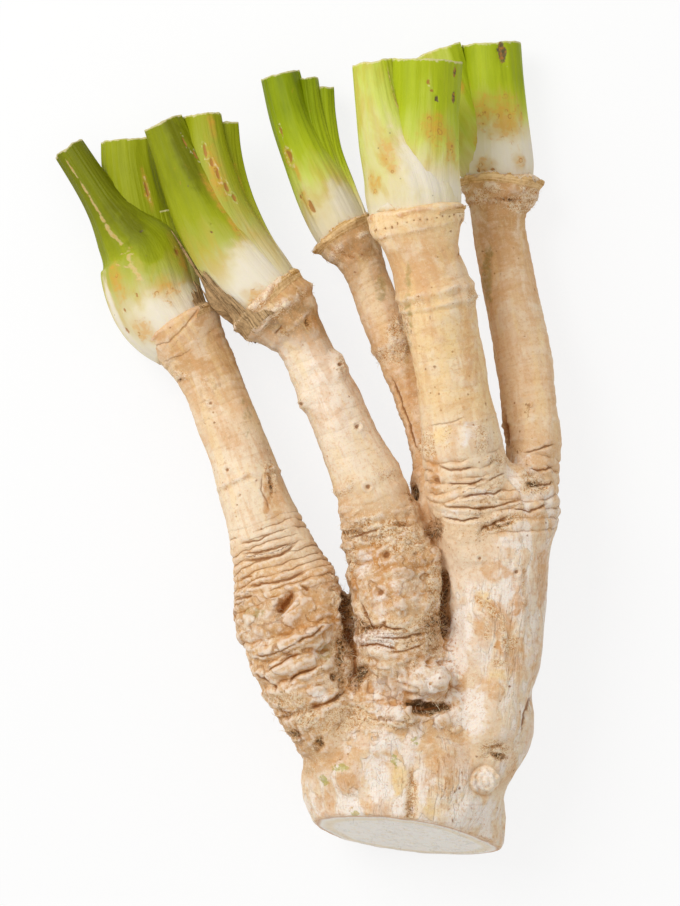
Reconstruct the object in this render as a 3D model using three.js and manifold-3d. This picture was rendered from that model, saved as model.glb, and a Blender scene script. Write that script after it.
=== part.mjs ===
// A horseradish crown: a length of taproot, cut straight across below, that forks into five necks.
// Each neck ends in a collar of old leaf scars, and a bundle of leaf stalks, cut short, stands on it.
// The root and its necks grew as one body, so they are one solid. Each leaf stalk is a solid of its own.
//
// Millimetres. It lies on its back: +Z is up, +Y runs from the cut root to the leaf stalks, and +X is
// to the right, seen from above. The origin is under the middle of the whole, on the surface it lies on.

import * as THREE from "three";
import Module from "manifold-3d";
import { mergeVertices } from "three/addons/utils/BufferGeometryUtils.js";

const wasm = await Module();
wasm.setup();

// --- Driving dimensions ---------------------------------------------------------------------------

const CLEARANCE = 0.3; // between two pieces that touch
const ROOT_SIDES = 20; // faces round a neck or lobe
const STALK_SIDES = 16; // faces round a leaf stalk
const RINGS_PER_SPAN = 2; // rings of faces from one station of a path to the next

const CUT_CENTRE = [30, -117, 23]; // middle of the knife cut across the taproot
const CUT_TURN = 7.7; // degrees that the cut faces to the left of straight down the root
const CUT_LEAN = 18; // degrees that the cut faces upwards
const CUT_BLOCK = 90; // size of the block that the knife takes away

// The root's lobes and necks, from the taproot outwards. A station is [x, y, z, half width, half depth].
const ROOT_LIMBS = {
  taproot: [
    [29, -132, 23, 26.5, 19],
    [30, -117, 23, 28, 21],
    [29.7, -105, 23.5, 30, 22.5],
    [30, -95, 23.4, 32, 22.8],
    [30, -86, 22.8, 33, 22.4],
    [29, -76, 22.6, 33, 21],
    [28, -64, 24, 30, 17.5],
    [27.6, -54, 25, 19, 12],
    [27.6, -48, 25, 8, 5],
  ],
  right_lobe: [
    [48, -104, 27, 8, 8],
    [52.4, -88, 28, 13.6, 14.5],
    [54.4, -79, 28.6, 13.4, 15],
    [54.4, -72, 29, 12.8, 15],
    [55.4, -64, 29, 14, 15],
    [56, -52, 29.5, 14.6, 14.5],
    [56.4, -40, 30, 15.4, 14.5],
    [56, -29, 30.5, 17.2, 15],
    [55.8, -20, 31, 19.4, 15],
    [55.5, -12, 31, 17.5, 12],
    [54.6, -6, 31, 10, 7],
  ],
  neck_1: [
    [17, -100, 24, 9, 12],
    [8.6, -85, 27, 12.4, 15],
    [1, -72, 29, 13.4, 15.2],
    [-2.6, -61, 29, 15.6, 15.8],
    [-4.5, -50, 28, 17.4, 16],
    [-7.5, -40, 27, 15.6, 14],
    [-11, -30.5, 26, 12.6, 12],
    [-14, -21.5, 25.5, 11, 10.8],
    [-17.2, -12.5, 25, 10.2, 10],
    [-20.4, -2, 24, 9.3, 9.3],
    [-24.6, 9, 23, 9.3, 9.2],
    [-27.8, 17.4, 22, 9.2, 9.2],
    [-32, 25, 21, 9.8, 9.6],
    [-35.6, 30.8, 20, 11, 10.4],
    [-38.4, 36, 19.2, 13.2, 11.6],
    [-39.6, 38, 19, 12.8, 11.2],
  ],
  neck_2: [
    [27.6, -88, 28, 9, 10],
    [27, -68, 31, 12.4, 14],
    [27.6, -57.5, 31.5, 13.4, 14.5],
    [27, -45.5, 32, 14.4, 14.5],
    [25.5, -33.5, 31.5, 14, 13.5],
    [22.2, -23.7, 31, 12.4, 11.6],
    [18.6, -12.4, 30.5, 10.8, 10.6],
    [13.4, -0.6, 30, 9.5, 9.4],
    [8.4, 11.4, 29, 8.9, 8.9],
    [4.2, 20, 28.5, 8.4, 8.4],
    [0.6, 27.7, 28, 7.7, 7.8],
    [-2.8, 33.6, 27.5, 8.4, 8.2],
    [-6.2, 37.8, 27.1, 11, 10],
    [-9.2, 41, 26.8, 12.6, 11.2],
    [-11.8, 43.8, 26.5, 12.7, 11.2],
    [-13.2, 45.4, 26.3, 12, 10.8],
  ],
  neck_3: [
    [43.5, -52, 30, 4, 5],
    [42, -38, 27, 6.4, 8],
    [38, -18, 23, 7.4, 8.4],
    [37.4, -3.6, 21, 6, 6.4],
    [34.6, 8.4, 20, 6, 6.2],
    [30.6, 19, 19, 6.2, 6.2],
    [26.4, 29.5, 18, 6.7, 6.4],
    [22.6, 40, 17, 6.6, 6.4],
    [18.4, 50, 15.5, 6.3, 6.3],
    [15.2, 58, 14.5, 7.2, 7],
    [11.8, 63.4, 13.5, 9.8, 8.8],
    [10, 66.2, 13.2, 9.8, 9],
  ],
  neck_4: [
    [54, -34, 33, 11, 11],
    [48.6, -15.6, 35.5, 13, 12],
    [46.3, -3.6, 37, 12.8, 11.8],
    [45.6, 5.4, 38, 11.6, 11.2],
    [43.8, 14.2, 39, 10.7, 10.6],
    [42.2, 23, 40, 10.5, 10.4],
    [40.2, 32, 41, 10.6, 10.4],
    [38.8, 40.3, 41.5, 11.3, 10.8],
    [37.6, 46.6, 42, 11.7, 11.2],
    [35, 55, 42.5, 10.4, 10.2],
    [33.4, 61, 43, 11.8, 11],
    [32.2, 66, 43, 14.4, 12.6],
    [31.8, 69.6, 43, 14.5, 12.6],
    [31.6, 70.8, 43, 13.8, 12.2],
  ],
  neck_5: [
    [62, -34, 28, 9, 10],
    [65.8, -15.6, 26, 9, 9.6],
    [67.2, -6.6, 25, 8.2, 9],
    [67.6, 2.4, 24, 8.4, 8.8],
    [66.6, 11.4, 23, 8.5, 8.6],
    [65.7, 20.4, 22, 8.7, 8.6],
    [64.2, 29.4, 20.6, 8.7, 8.6],
    [62.8, 38.4, 19.4, 8.6, 8.4],
    [61.2, 47.6, 18.2, 8.3, 8.2],
    [59.5, 56.7, 17, 8.1, 8],
    [58, 65.8, 16, 8.1, 8],
    [57.4, 71.4, 15.2, 8.8, 8.6],
    [57.7, 75.4, 14.8, 11, 10.4],
    [58, 79, 14.6, 11.8, 11],
    [58.2, 81.8, 14.4, 11.5, 10.8],
  ],
};

// Knobs and side buds on the root: [x, y, z, radius, stretch along X, along Y, along Z].
const KNOBS = [
  [35, -70, 41, 5.6, 1.25, 1, 1],
  [53, -98, 38.5, 4.2, 1, 1, 0.8],
  [28, -79, 45, 3.6, 1.2, 1, 0.8],
  [0.8, -88.6, 25, 4.2, 1, 1.2, 1.5],
  [62.5, -80, 29, 4.6, 1, 2, 1.8],
  [9.5, -52, 27, 5, 1, 2, 1.4],
];

// Necks 1 and 5 hang lower than the rest: they and their crowns sink towards the surface, from nothing
// at one value of y to their full depth at another.
const SINKING = {
  1: { from: -50, to: 50, depth: 4 },
  5: { from: -20, to: 90, depth: 3.3 },
};

// Leaf stalks, from the crown outwards. A station is [x, y, z, half width, outer bulge, inner bulge], and
// facing is the way that the outer side looks: 0 is up, 180 down, 90 to the right.
// In a bundle each stalk gives way to the ones listed before it.
const BUNDLES = {
  crown1: {
    thin_stalk: {
      facing: -8,
      stations: [
        [-37, 32, 19, 10.5, 9, 1.5],
        [-42, 38, 18, 12.8, 11, 1.5],
        [-46, 44, 16.5, 13.6, 12, 1.4],
        [-48.8, 52, 15.6, 13.8, 11.6, 1.2],
        [-51.2, 59.5, 15.2, 12.6, 10, 1.2],
        [-55.8, 66, 15.6, 9.4, 7.4, 1.6],
        [-61.2, 73.5, 16, 6.2, 5, 2.2],
        [-66.4, 81.5, 15.6, 5, 4, 2.4],
        [-72.6, 91, 14.6, 4.6, 3.6, 2.2],
      ],
    },
    side_stub: {
      facing: 84,
      stations: [
        [-36, 37, 18, 6, 4.6, 3],
        [-37, 45, 16.4, 6.4, 5, 3.4],
        [-38.6, 54, 15.4, 5.6, 4.6, 3.6],
        [-41.6, 62, 14.8, 4.4, 3.6, 3],
        [-44.4, 71.8, 14.4, 3.2, 2.6, 2],
      ],
    },
    broad_stalk: {
      facing: 176,
      stations: [
        [-37, 32, 18.6, 10, 9, 2],
        [-42, 38, 17.4, 12.2, 10.4, 2],
        [-46.4, 46, 15.6, 13, 11.6, 3],
        [-49.2, 57, 14.4, 12.4, 10.8, 4],
        [-51.2, 68, 14, 9.6, 8.2, 5],
        [-53.4, 79, 13.6, 8.2, 6.2, 5],
        [-54.8, 87, 13.2, 7.8, 5.4, 4.4],
        [-55.4, 93.6, 12.8, 7.4, 5, 4],
      ],
    },
  },
  crown2: {
    left_stalk: {
      facing: -24,
      stations: [
        [-9, 40.5, 27, 9.6, 8.4, 2],
        [-14.4, 46.5, 26.5, 10.8, 9.8, 2],
        [-22.6, 56.4, 25.6, 10.8, 10, 2.4],
        [-30, 68, 25, 9.8, 9, 3],
        [-36, 80, 24.6, 8.2, 7.6, 3.4],
        [-40.4, 90, 24.2, 6.8, 6.2, 3.2],
        [-43.6, 97.6, 24, 6.2, 5.2, 2.8],
      ],
    },
    middle_stalk: {
      facing: 20,
      stations: [
        [-8, 42, 27, 8, 7.6, 3],
        [-12, 49, 26, 9, 8.6, 3],
        [-19, 59, 25, 9, 8.6, 3],
        [-25, 70, 24.6, 8, 7.8, 3],
        [-28.4, 81, 24.4, 6.8, 6.6, 3],
        [-30.6, 91.5, 24, 5.8, 5.6, 2.8],
        [-31.8, 100, 23.6, 5.4, 5, 2.6],
      ],
    },
    right_stalk: {
      facing: 166,
      stations: [
        [-9, 40.5, 27, 10, 9, 2],
        [-13.6, 47.5, 25.6, 10.8, 9.6, 2],
        [-19.4, 57, 23.6, 10.4, 9, 3],
        [-22.6, 68, 21.6, 8.2, 6.6, 4],
        [-24.4, 79, 20.6, 6, 4.6, 4],
        [-25.4, 89, 20, 4.8, 3.8, 3.4],
        [-25.8, 98, 19.8, 4.4, 3.4, 3],
      ],
    },
  },
  crown3: {
    broad_stalk: {
      facing: -10,
      stations: [
        [12, 62.5, 13.4, 8, 7.4, 1.4],
        [8.4, 69.5, 12.8, 8.6, 8.2, 1.4],
        [4, 78.5, 12.4, 8.2, 8.2, 1.8],
        [-1.2, 90, 12.2, 7, 7, 2],
        [-5.4, 101, 12.2, 6.2, 5.8, 2.2],
        [-8.6, 113.2, 12.2, 5.7, 4.8, 2.2],
      ],
    },
    middle_stalk: {
      facing: 76,
      stations: [
        [12, 64, 13, 5, 5, 3],
        [9, 72, 12.4, 5, 6, 3],
        [6.4, 82, 12, 4.6, 5, 3],
        [3.4, 92, 11.8, 4.2, 4.2, 3],
        [1.2, 102, 11.6, 3.8, 3.6, 3],
        [-0.2, 112, 11.4, 3.4, 3.2, 2.8],
      ],
    },
    right_stalk: {
      facing: 160,
      stations: [
        [12, 62.5, 13.4, 8, 7.4, 1.6],
        [8.8, 69.5, 12.4, 8.8, 7.6, 1.6],
        [6.6, 79, 11.4, 7.4, 6.4, 2.6],
        [5, 90, 10.6, 5, 4.8, 3.4],
        [4.4, 100.6, 9.8, 3.6, 4, 3.2],
        [4.2, 109.6, 9.4, 3.2, 3.6, 3],
      ],
    },
  },
  crown4: {
    left_stalk: {
      facing: -14,
      stations: [
        [31.6, 68, 42.6, 13, 11, 1],
        [30.8, 74, 42.2, 13.6, 12, 1],
        [28.8, 81, 42.2, 12.6, 11.6, 1.4],
        [24.6, 91, 42.4, 9.6, 9, 2.4],
        [21.6, 102, 42.6, 7.4, 6.8, 2.8],
        [19.6, 114, 42.8, 6.4, 5.4, 2.6],
      ],
    },
    right_stalk: {
      facing: 22,
      stations: [
        [31.8, 68, 42.4, 13, 10.6, 2],
        [32.6, 75, 42.2, 13.2, 11.2, 2],
        [33.6, 84, 42.4, 11.4, 10.4, 2.4],
        [34.4, 94, 42.6, 10.4, 9.4, 2.6],
        [35, 104, 42.8, 10.2, 8.6, 2.6],
        [35.4, 114.4, 43, 10.6, 8, 2.6],
      ],
    },
    back_stalk: {
      facing: 184,
      stations: [
        [31.6, 68, 42.6, 12.6, 11, 1],
        [31.4, 75, 41.6, 13.2, 11, 1],
        [30, 84, 40.6, 10.8, 9, 2],
        [29, 94, 39.6, 8, 6.6, 3],
        [28.2, 104, 39, 6.8, 5.4, 3],
        [27.8, 112.5, 38.8, 6.4, 4.8, 3],
      ],
    },
  },
  crown5: {
    right_stalk: {
      facing: 12,
      stations: [
        [58, 79, 14.2, 10, 9, 1],
        [57.6, 86, 13.8, 10.8, 10, 1],
        [57, 95, 13.6, 10.3, 9.6, 1.4],
        [56.5, 104, 13.6, 9.6, 8.8, 1.8],
        [56, 113, 13.6, 9.1, 8, 2],
        [55.4, 122.6, 13.6, 8.9, 7.2, 2],
      ],
    },
    left_stalk: {
      facing: -32,
      stations: [
        [57.4, 79, 14.2, 9, 8, 2],
        [54.6, 86, 13.6, 9.4, 8.4, 2],
        [49, 96, 13.2, 8.8, 7.4, 2.4],
        [43.2, 107, 13, 8.4, 6.6, 2.6],
        [38.8, 120.4, 12.8, 8.6, 5.8, 2.6],
      ],
    },
    back_stalk: {
      facing: 176,
      stations: [
        [58, 79, 14.2, 10.4, 9.2, 1],
        [57, 86, 13.2, 10.8, 10, 1],
        [54.6, 96, 12.2, 9.4, 9.2, 2],
        [52.4, 107, 11.6, 7.6, 7.4, 2],
        [51, 119.5, 11.2, 6.4, 5.8, 2],
      ],
    },
  },
};

// The plain finishes of root and leaf stalk.
const SKIN = { color: 0xe0c4a0, roughness: 0.75, metalness: 0 };
const STALK = { color: 0xa9ad2c, roughness: 0.45, metalness: 0 };

// --- Lofts ----------------------------------------------------------------------------------------

const UP = new THREE.Vector3(0, 0, 1);

// A smooth path through stations that carries the first three numbers as places and the rest as sizes.
function smoothPath(stations) {
  const places = stations.map(([x, y, z]) => new THREE.Vector3(x, y, z));
  const sizes = stations.map((s) => new THREE.Vector3(s[3], s[4], s[5] ?? 0));
  const centre = new THREE.CatmullRomCurve3(places, false, "catmullrom");
  const size = new THREE.CatmullRomCurve3(sizes, false, "catmullrom");
  return { centre, size, spans: stations.length - 1 };
}

// A closed body: a section carried along a path, with flat ends. section(angle, size, along) gives how
// far a point of the ring stands to the side and outwards. The outward way is up, rolled by facing degrees.
// grow makes the body that much larger all over, to cut a clearance into a neighbour.
function loft(stations, sides, section, facing = 0, grow = 0) {
  const { centre, size, spans } = smoothPath(stations);
  const rings = spans * RINGS_PER_SPAN;
  const points = [];
  for (let ring = 0; ring <= rings; ring++) {
    const along = ring / rings;
    const middle = centre.getPoint(along);
    const tangent = centre.getTangent(along);
    const end = ring === 0 ? -1 : ring === rings ? 1 : 0;
    middle.addScaledVector(tangent, end * grow);
    const side = new THREE.Vector3().crossVectors(tangent, UP).normalize();
    const outward = new THREE.Vector3().crossVectors(side, tangent);
    const roll = THREE.MathUtils.degToRad(facing);
    side.applyAxisAngle(tangent, roll);
    outward.applyAxisAngle(tangent, roll);
    const sizes = size.getPoint(along).addScalar(grow);
    for (let k = 0; k < sides; k++) {
      const [across, out] = section((2 * Math.PI * k) / sides, sizes, along);
      points.push(middle.clone().addScaledVector(side, across).addScaledVector(outward, out));
    }
  }
  const firstEnd = points.length;
  points.push(centre.getPoint(0).addScaledVector(centre.getTangent(0), -grow));
  points.push(centre.getPoint(1).addScaledVector(centre.getTangent(1), grow));
  const faces = [];
  for (let k = 0; k < sides; k++) {
    const next = (k + 1) % sides;
    for (let ring = 0; ring < rings; ring++) {
      const low = ring * sides;
      const high = low + sides;
      faces.push(low + k, high + k, low + next, low + next, high + k, high + next);
    }
    faces.push(firstEnd, k, next, firstEnd + 1, rings * sides + next, rings * sides + k);
  }
  const geometry = new THREE.BufferGeometry().setFromPoints(points);
  geometry.setIndex(faces);
  return geometry;
}

// An oval with low swellings that wander along the limb.
function limbSection(angle, size, along) {
  const swelling = 1 + 0.03 * Math.sin(3 * angle + 17 * along) + 0.02 * Math.sin(5 * angle - 29 * along);
  return [size.x * swelling * Math.cos(angle), size.y * swelling * Math.sin(angle)];
}

// A leaf stalk is rounded on its outer side and nearly flat on its inner side.
function stalkSection(angle, size) {
  const bulge = Math.sin(angle) > 0 ? size.y : size.z;
  return [size.x * Math.cos(angle), bulge * Math.sin(angle)];
}

// --- Solids ---------------------------------------------------------------------------------------

function toSolid(geometry) {
  const bare = new THREE.BufferGeometry();
  bare.setAttribute("position", geometry.getAttribute("position"));
  bare.setIndex(geometry.getIndex());
  const merged = mergeVertices(bare, 1e-4);
  return new wasm.Manifold(
    new wasm.Mesh({
      numProp: 3,
      vertProperties: merged.attributes.position.array,
      triVerts: new Uint32Array(merged.index.array),
    }),
  );
}

function toGeometry(solid) {
  const { vertProperties, triVerts } = solid.getMesh();
  const geometry = new THREE.BufferGeometry();
  geometry.setAttribute("position", new THREE.BufferAttribute(new Float32Array(vertProperties), 3));
  geometry.setIndex(new THREE.BufferAttribute(new Uint32Array(triVerts), 1));
  return geometry;
}

// The largest of the bodies that a cut leaves.
function largestBody(solid) {
  return solid.decompose().reduce((best, body) => (body.volume() > best.volume() ? body : best));
}

function knobSolid([x, y, z, radius, stretchX, stretchY, stretchZ]) {
  const ball = new THREE.SphereGeometry(radius, 14, 9);
  ball.scale(stretchX, stretchY, stretchZ);
  ball.translate(x, y, z);
  return toSolid(ball);
}

// The block below the cut, whose upper face is the knife's plane.
function knifeBlock() {
  const block = new THREE.BoxGeometry(CUT_BLOCK, CUT_BLOCK, CUT_BLOCK);
  block.translate(0, -CUT_BLOCK / 2, 0);
  block.rotateX(-THREE.MathUtils.degToRad(CUT_LEAN));
  block.rotateZ(-THREE.MathUtils.degToRad(CUT_TURN));
  block.translate(...CUT_CENTRE);
  return toSolid(block);
}

// Stations lowered as far as their neck has sunk there. A limb that isn't a neck keeps its own.
function sunken(stations, neck) {
  if (!(neck in SINKING)) return stations;
  const { from, to, depth } = SINKING[neck];
  const share = (y) => THREE.MathUtils.clamp((y - from) / (to - from), 0, 1);
  return stations.map(([x, y, z, ...sizes]) => [x, y, z - depth * share(y), ...sizes]);
}

function limbSolid(name, grow = 0) {
  const neck = name.startsWith("neck_") ? name.slice(-1) : "";
  return toSolid(loft(sunken(ROOT_LIMBS[name], neck), ROOT_SIDES, limbSection, 0, grow));
}

function rootSolid() {
  const limbs = Object.keys(ROOT_LIMBS).map((name) => limbSolid(name));
  const body = [...limbs, ...KNOBS.map(knobSolid)].reduce((whole, piece) => whole.add(piece));
  return largestBody(body.subtract(knifeBlock()));
}

function stalkSolid({ stations, facing }, grow = 0) {
  return toSolid(loft(stations, STALK_SIDES, stalkSection, facing, grow));
}

// --- Assembly -------------------------------------------------------------------------------------

const horseradish = new THREE.Group();

function addPiece(name, solid, finish) {
  const mesh = new THREE.Mesh(toGeometry(solid), new THREE.MeshStandardMaterial(finish));
  mesh.name = name;
  horseradish.add(mesh);
}

addPiece("root", rootSolid(), SKIN);

Object.entries(BUNDLES).forEach(([crown, stalks], index) => {
  const neck = index + 1;
  let taken = limbSolid(`neck_${neck}`, CLEARANCE);
  for (const [stalk, { stations, facing }] of Object.entries(stalks)) {
    const form = { stations: sunken(stations, neck), facing };
    const solid = largestBody(stalkSolid(form).subtract(taken));
    addPiece(`${crown}_${stalk}`, solid, STALK);
    taken = taken.add(stalkSolid(form, CLEARANCE));
  }
});

// Brings the middle of the whole over the origin and its lowest point down to the surface.
const box = new THREE.Box3().setFromObject(horseradish);
const middle = box.getCenter(new THREE.Vector3());
horseradish.children.forEach((mesh) => mesh.geometry.translate(-middle.x, -middle.y, -box.min.z));

export default horseradish;
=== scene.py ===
"""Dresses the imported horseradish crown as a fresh, washed root that lies on a pale floor.

The root is one body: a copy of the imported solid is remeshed, relaxed and then carved with the
lumps, folds, wrinkles, leaf scars, cracks and pits of a real root. The leaf stalks are lofted
surfaces. Papery scale remains hug the collars, and short fibres stand in the clefts and on the
collars. Lengths are in millimetres until a mesh is made.
"""

import logging
import math
from dataclasses import dataclass, field
from enum import Enum
from functools import reduce

import bpy
import numpy as np
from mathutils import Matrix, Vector
from mathutils.bvhtree import BVHTree


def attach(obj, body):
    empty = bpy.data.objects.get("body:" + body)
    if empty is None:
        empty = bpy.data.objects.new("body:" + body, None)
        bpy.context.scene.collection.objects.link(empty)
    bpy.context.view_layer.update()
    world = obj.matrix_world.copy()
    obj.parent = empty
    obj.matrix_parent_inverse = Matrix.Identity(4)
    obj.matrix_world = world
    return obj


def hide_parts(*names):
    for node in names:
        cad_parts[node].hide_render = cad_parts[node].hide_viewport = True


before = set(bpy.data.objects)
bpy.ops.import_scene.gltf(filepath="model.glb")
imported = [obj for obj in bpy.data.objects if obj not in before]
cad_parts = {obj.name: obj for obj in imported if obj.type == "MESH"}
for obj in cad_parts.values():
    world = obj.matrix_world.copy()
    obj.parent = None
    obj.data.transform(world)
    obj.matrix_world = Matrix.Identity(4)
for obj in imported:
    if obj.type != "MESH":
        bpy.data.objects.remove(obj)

Array = np.ndarray
Material = bpy.types.Material
Mesh = bpy.types.Mesh
Piece = bpy.types.Object
Points = tuple[tuple[float, ...], ...]
Socket = bpy.types.NodeSocket

# Metres in a millimetre, the seed that all patterns start from, the largest share that counts as
# nothing, and how near the floor a point may come, in millimetres.
MM = 0.001
SEED = 41
FAINT = 0.01
FLOOR_GAP = 0.02
LOG = logging.getLogger("horseradish")


# --- Numbers, noise and curves --------------------------------------------------------------------


def linear(colour: str) -> tuple[float, float, float, float]:
    """Turns an sRGB hex colour to linear light.

    Each channel c becomes c / 12.92 below 0.04045 and ((c + 0.055) / 1.055) ^ 2.4 above it.

    Args:
        colour: Six hex digits after a hash.

    Returns:
        Red, green, blue and an alpha of 1.
    """
    parts = [int(colour[k : k + 2], 16) / 255 for k in (1, 3, 5)]
    light = [c / 12.92 if c <= 0.04045 else ((c + 0.055) / 1.055) ** 2.4 for c in parts]
    return (*light, 1.0)


def ease(low: float, high: float, value: Array) -> Array:
    """Rises from 0 at low to 1 at high along 3t^2 - 2t^3; it falls where low is above high."""
    t = np.clip((value - low) / (high - low), 0, 1)
    return t * t * (3 - 2 * t)


def bell(value: Array) -> Array:
    """Returns exp(-value^2), a bump that is 1 at 0."""
    return np.exp(-(value**2))


def at_least(held: Array, values: Array, rows: Array | slice = slice(None)) -> None:
    """Raises the held numbers, in the given rows, to the values that are larger."""
    held[rows] = np.maximum(held[rows], values)


def noise(points: Array, seed: int) -> Array:
    """Smooth random field between about -1 and 1, with features one unit across.

    Each corner of a unit cell gets a hashed slope. A point takes the eight slopes' heights at it,
    blended by 6t^5 - 15t^4 + 10t^3 along each axis.

    Args:
        points: One row of three coordinates per point.
        seed: Picks another field.

    Returns:
        One value per point.
    """
    cell = np.floor(points).astype(np.int64)
    part = points - cell
    weight = part**3 * (part * (part * 6 - 15) + 10)
    total = np.zeros(len(points))
    for corner in np.ndindex(2, 2, 2):
        at = cell + corner
        code = (at[:, 0] * 73856093) ^ (at[:, 1] * 19349663) ^ (at[:, 2] * 83492791) ^ (seed * 2654435)
        code = (code & 0xFFFFFFFF) * 0x9E3779B1 & 0xFFFFFFFF
        code = (code ^ (code >> 15)) * 0x85EBCA77 & 0xFFFFFFFF
        code ^= code >> 13
        slope = np.stack([(code >> k) & 1023 for k in (0, 10, 20)], axis=1) / 511.5 - 1
        height = (slope * (part - corner)).sum(axis=1)
        total += height * np.where(corner, weight, 1 - weight).prod(axis=1)
    return total * 1.4


def layered(points: Array, size: float, octaves: int, seed: int, where: Array | None = None) -> Array:
    """Sum of noise fields, each half as large and a little over half as strong as the one before.

    Args:
        points: One row of three coordinates per point, in millimetres.
        size: Width of the largest features, in millimetres.
        octaves: Number of fields.
        seed: Picks another sum.
        where: Shares from 0 to 1; points whose share is almost 0 are left at 0.

    Returns:
        One value per point, between about -1 and 1.
    """
    picked = np.arange(len(points)) if where is None else np.flatnonzero(where > FAINT)
    total, strength = np.zeros(len(points)), 0.0
    for k in range(octaves):
        total[picked] += 0.55**k * noise(points[picked] * 2**k / size + 17.3 * k, seed + 101 * k)
        strength += 0.55**k
    return total / strength


def smooth_rows(rows: Array, steps: int) -> Array:
    """Passes a uniform Catmull-Rom curve through rows of numbers.

    The curve leaves each end as if one more row stood beyond it, as far out as the next is in.

    Args:
        rows: Numbers to pass through, one row per station.
        steps: Samples from one station to the next.

    Returns:
        The sampled rows, both ends included.
    """
    padded = np.vstack([2 * rows[0] - rows[1], rows, 2 * rows[-1] - rows[-2]])
    along = np.linspace(0, len(rows) - 1, (len(rows) - 1) * steps + 1)
    span = np.minimum(along.astype(int), len(rows) - 2)
    t = (along - span)[:, None]
    a, b, c, d = (padded[span + k] for k in range(4))
    return 0.5 * (2 * b + (c - a) * t + (2 * a - 5 * b + 4 * c - d) * t**2 + (3 * b - a - 3 * c + d) * t**3)


def path_frames(path: Array) -> tuple[Array, Array, Array, Array]:
    """Works out the moving axes of a path whose outward way is up.

    The side is the tangent crossed with the vertical, and outward is the side crossed with the tangent.

    Args:
        path: Points along the path.

    Returns:
        The tangent, side and outward direction at each point, and the length run up to it.
    """
    tangent = np.gradient(path, axis=0)
    tangent /= np.linalg.norm(tangent, axis=1, keepdims=True)
    side = np.cross(tangent, (0.0, 0.0, 1.0))
    side /= np.linalg.norm(side, axis=1, keepdims=True)
    run = np.concatenate([[0], np.linalg.norm(np.diff(path, axis=0), axis=1).cumsum()])
    return tangent, side, np.cross(side, tangent), run


def line_distance(places: Array, line: Points) -> tuple[Array, Array]:
    """Finds how far each place is from a broken line, and where along the line it is nearest.

    Each stretch a to b is nearest at a + t (b - a), with t = (p - a).(b - a) / |b - a|^2 held to 0..1.
    The distance is positive on the line's left and negative on its right.

    Args:
        places: Rows of two coordinates.
        line: The line's corners.

    Returns:
        The signed distance, and the share of the line's length run at the nearest point.
    """
    corners = np.array(line, float)
    lengths = np.linalg.norm(np.diff(corners, axis=0), axis=1)
    starts = np.concatenate([[0], lengths.cumsum()])
    nearest, share = np.full(len(places), 1e9), np.zeros(len(places))
    for k, (a, b) in enumerate(zip(corners[:-1], corners[1:])):
        step, offset = b - a, places - a
        t = np.clip((offset @ step) / lengths[k] ** 2, 0, 1)
        gap = np.linalg.norm(offset - t[:, None] * step, axis=1)
        closer = gap < np.abs(nearest)
        left = np.where(step[0] * offset[:, 1] - step[1] * offset[:, 0] < 0, -1.0, 1.0)
        nearest[closer] = (gap * left)[closer]
        share[closer] = ((starts[k] + t * lengths[k]) / starts[-1])[closer]
    return nearest, share


# --- Meshes ---------------------------------------------------------------------------------------


def add_object(name: str, data: bpy.types.ID) -> Piece:
    """Makes an object and links it to the scene, at the origin.

    Args:
        name: The object's name.
        data: Its mesh, light or camera.

    Returns:
        The object.
    """
    piece = bpy.data.objects.new(name, data)
    bpy.context.scene.collection.objects.link(piece)
    return piece


def new_mesh(name: str, points: Array, faces: list | Array) -> Piece:
    """Makes a smooth-shaded object from points in millimetres.

    Args:
        name: The object's name.
        points: One row per vertex.
        faces: Vertex numbers of each face, counter-clockwise seen from outside.

    Returns:
        The object, linked to the scene at the origin.
    """
    mesh = bpy.data.meshes.new(name)
    mesh.from_pydata((points * MM).tolist(), [], faces if isinstance(faces, list) else faces.tolist())
    mesh.shade_smooth()
    return add_object(name, mesh)


def above_floor(points: Array) -> Array:
    """Holds points at or above the surface that the root lies on."""
    return np.column_stack([points[:, :2], np.maximum(points[:, 2], FLOOR_GAP)])


def read(items: bpy.types.bpy_prop_collection, key: str, width: int, kind: type = np.float32) -> Array:
    """Reads a property of every vertex, edge, corner or face.

    Args:
        items: The mesh's list of them.
        key: The property's name.
        width: How many numbers each one has.
        kind: The kind of number.

    Returns:
        One number each, or one row each where they have more.
    """
    flat = np.empty(len(items) * width, kind)
    items.foreach_get(key, flat)
    return flat if width == 1 else flat.reshape(-1, width)


def vertex_places(mesh: Mesh) -> Array:
    """Returns the vertices' places in millimetres."""
    return read(mesh.vertices, "co", 3).astype(float) / MM


def vertex_normals(mesh: Mesh) -> Array:
    """Returns the vertices' outward directions."""
    return read(mesh.vertex_normals, "vector", 3).astype(float)


def move_vertices(mesh: Mesh, places: Array) -> None:
    """Moves the vertices to new places, given in millimetres."""
    mesh.vertices.foreach_set("co", (places * MM).astype(np.float32).ravel())
    mesh.update()


def relax(values: Array, edges: Array, rounds: int) -> Array:
    """Averages values over the mesh: each round, a vertex goes halfway to its neighbours' mean.

    Args:
        values: One row per vertex.
        edges: Vertex numbers of each edge.
        rounds: Times that it is done.

    Returns:
        The averaged values.
    """
    count = len(values)
    near = np.bincount(edges.ravel(), minlength=count).clip(1)
    one, two = edges.T
    for _ in range(rounds):
        total = [np.bincount(one, v[two], count) + np.bincount(two, v[one], count) for v in values.T]
        values = values + 0.5 * (np.stack(total, axis=1) / near[:, None] - values)
    return values


def set_field(mesh: Mesh, name: str, values: Array) -> None:
    """Stores one number or one vector per vertex as an attribute that materials read."""
    kind, key = ("FLOAT", "value") if values.ndim == 1 else ("FLOAT_VECTOR", "vector")
    mesh.attributes.new(name, kind, "POINT").data.foreach_set(key, values.astype(np.float32).ravel())


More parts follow.
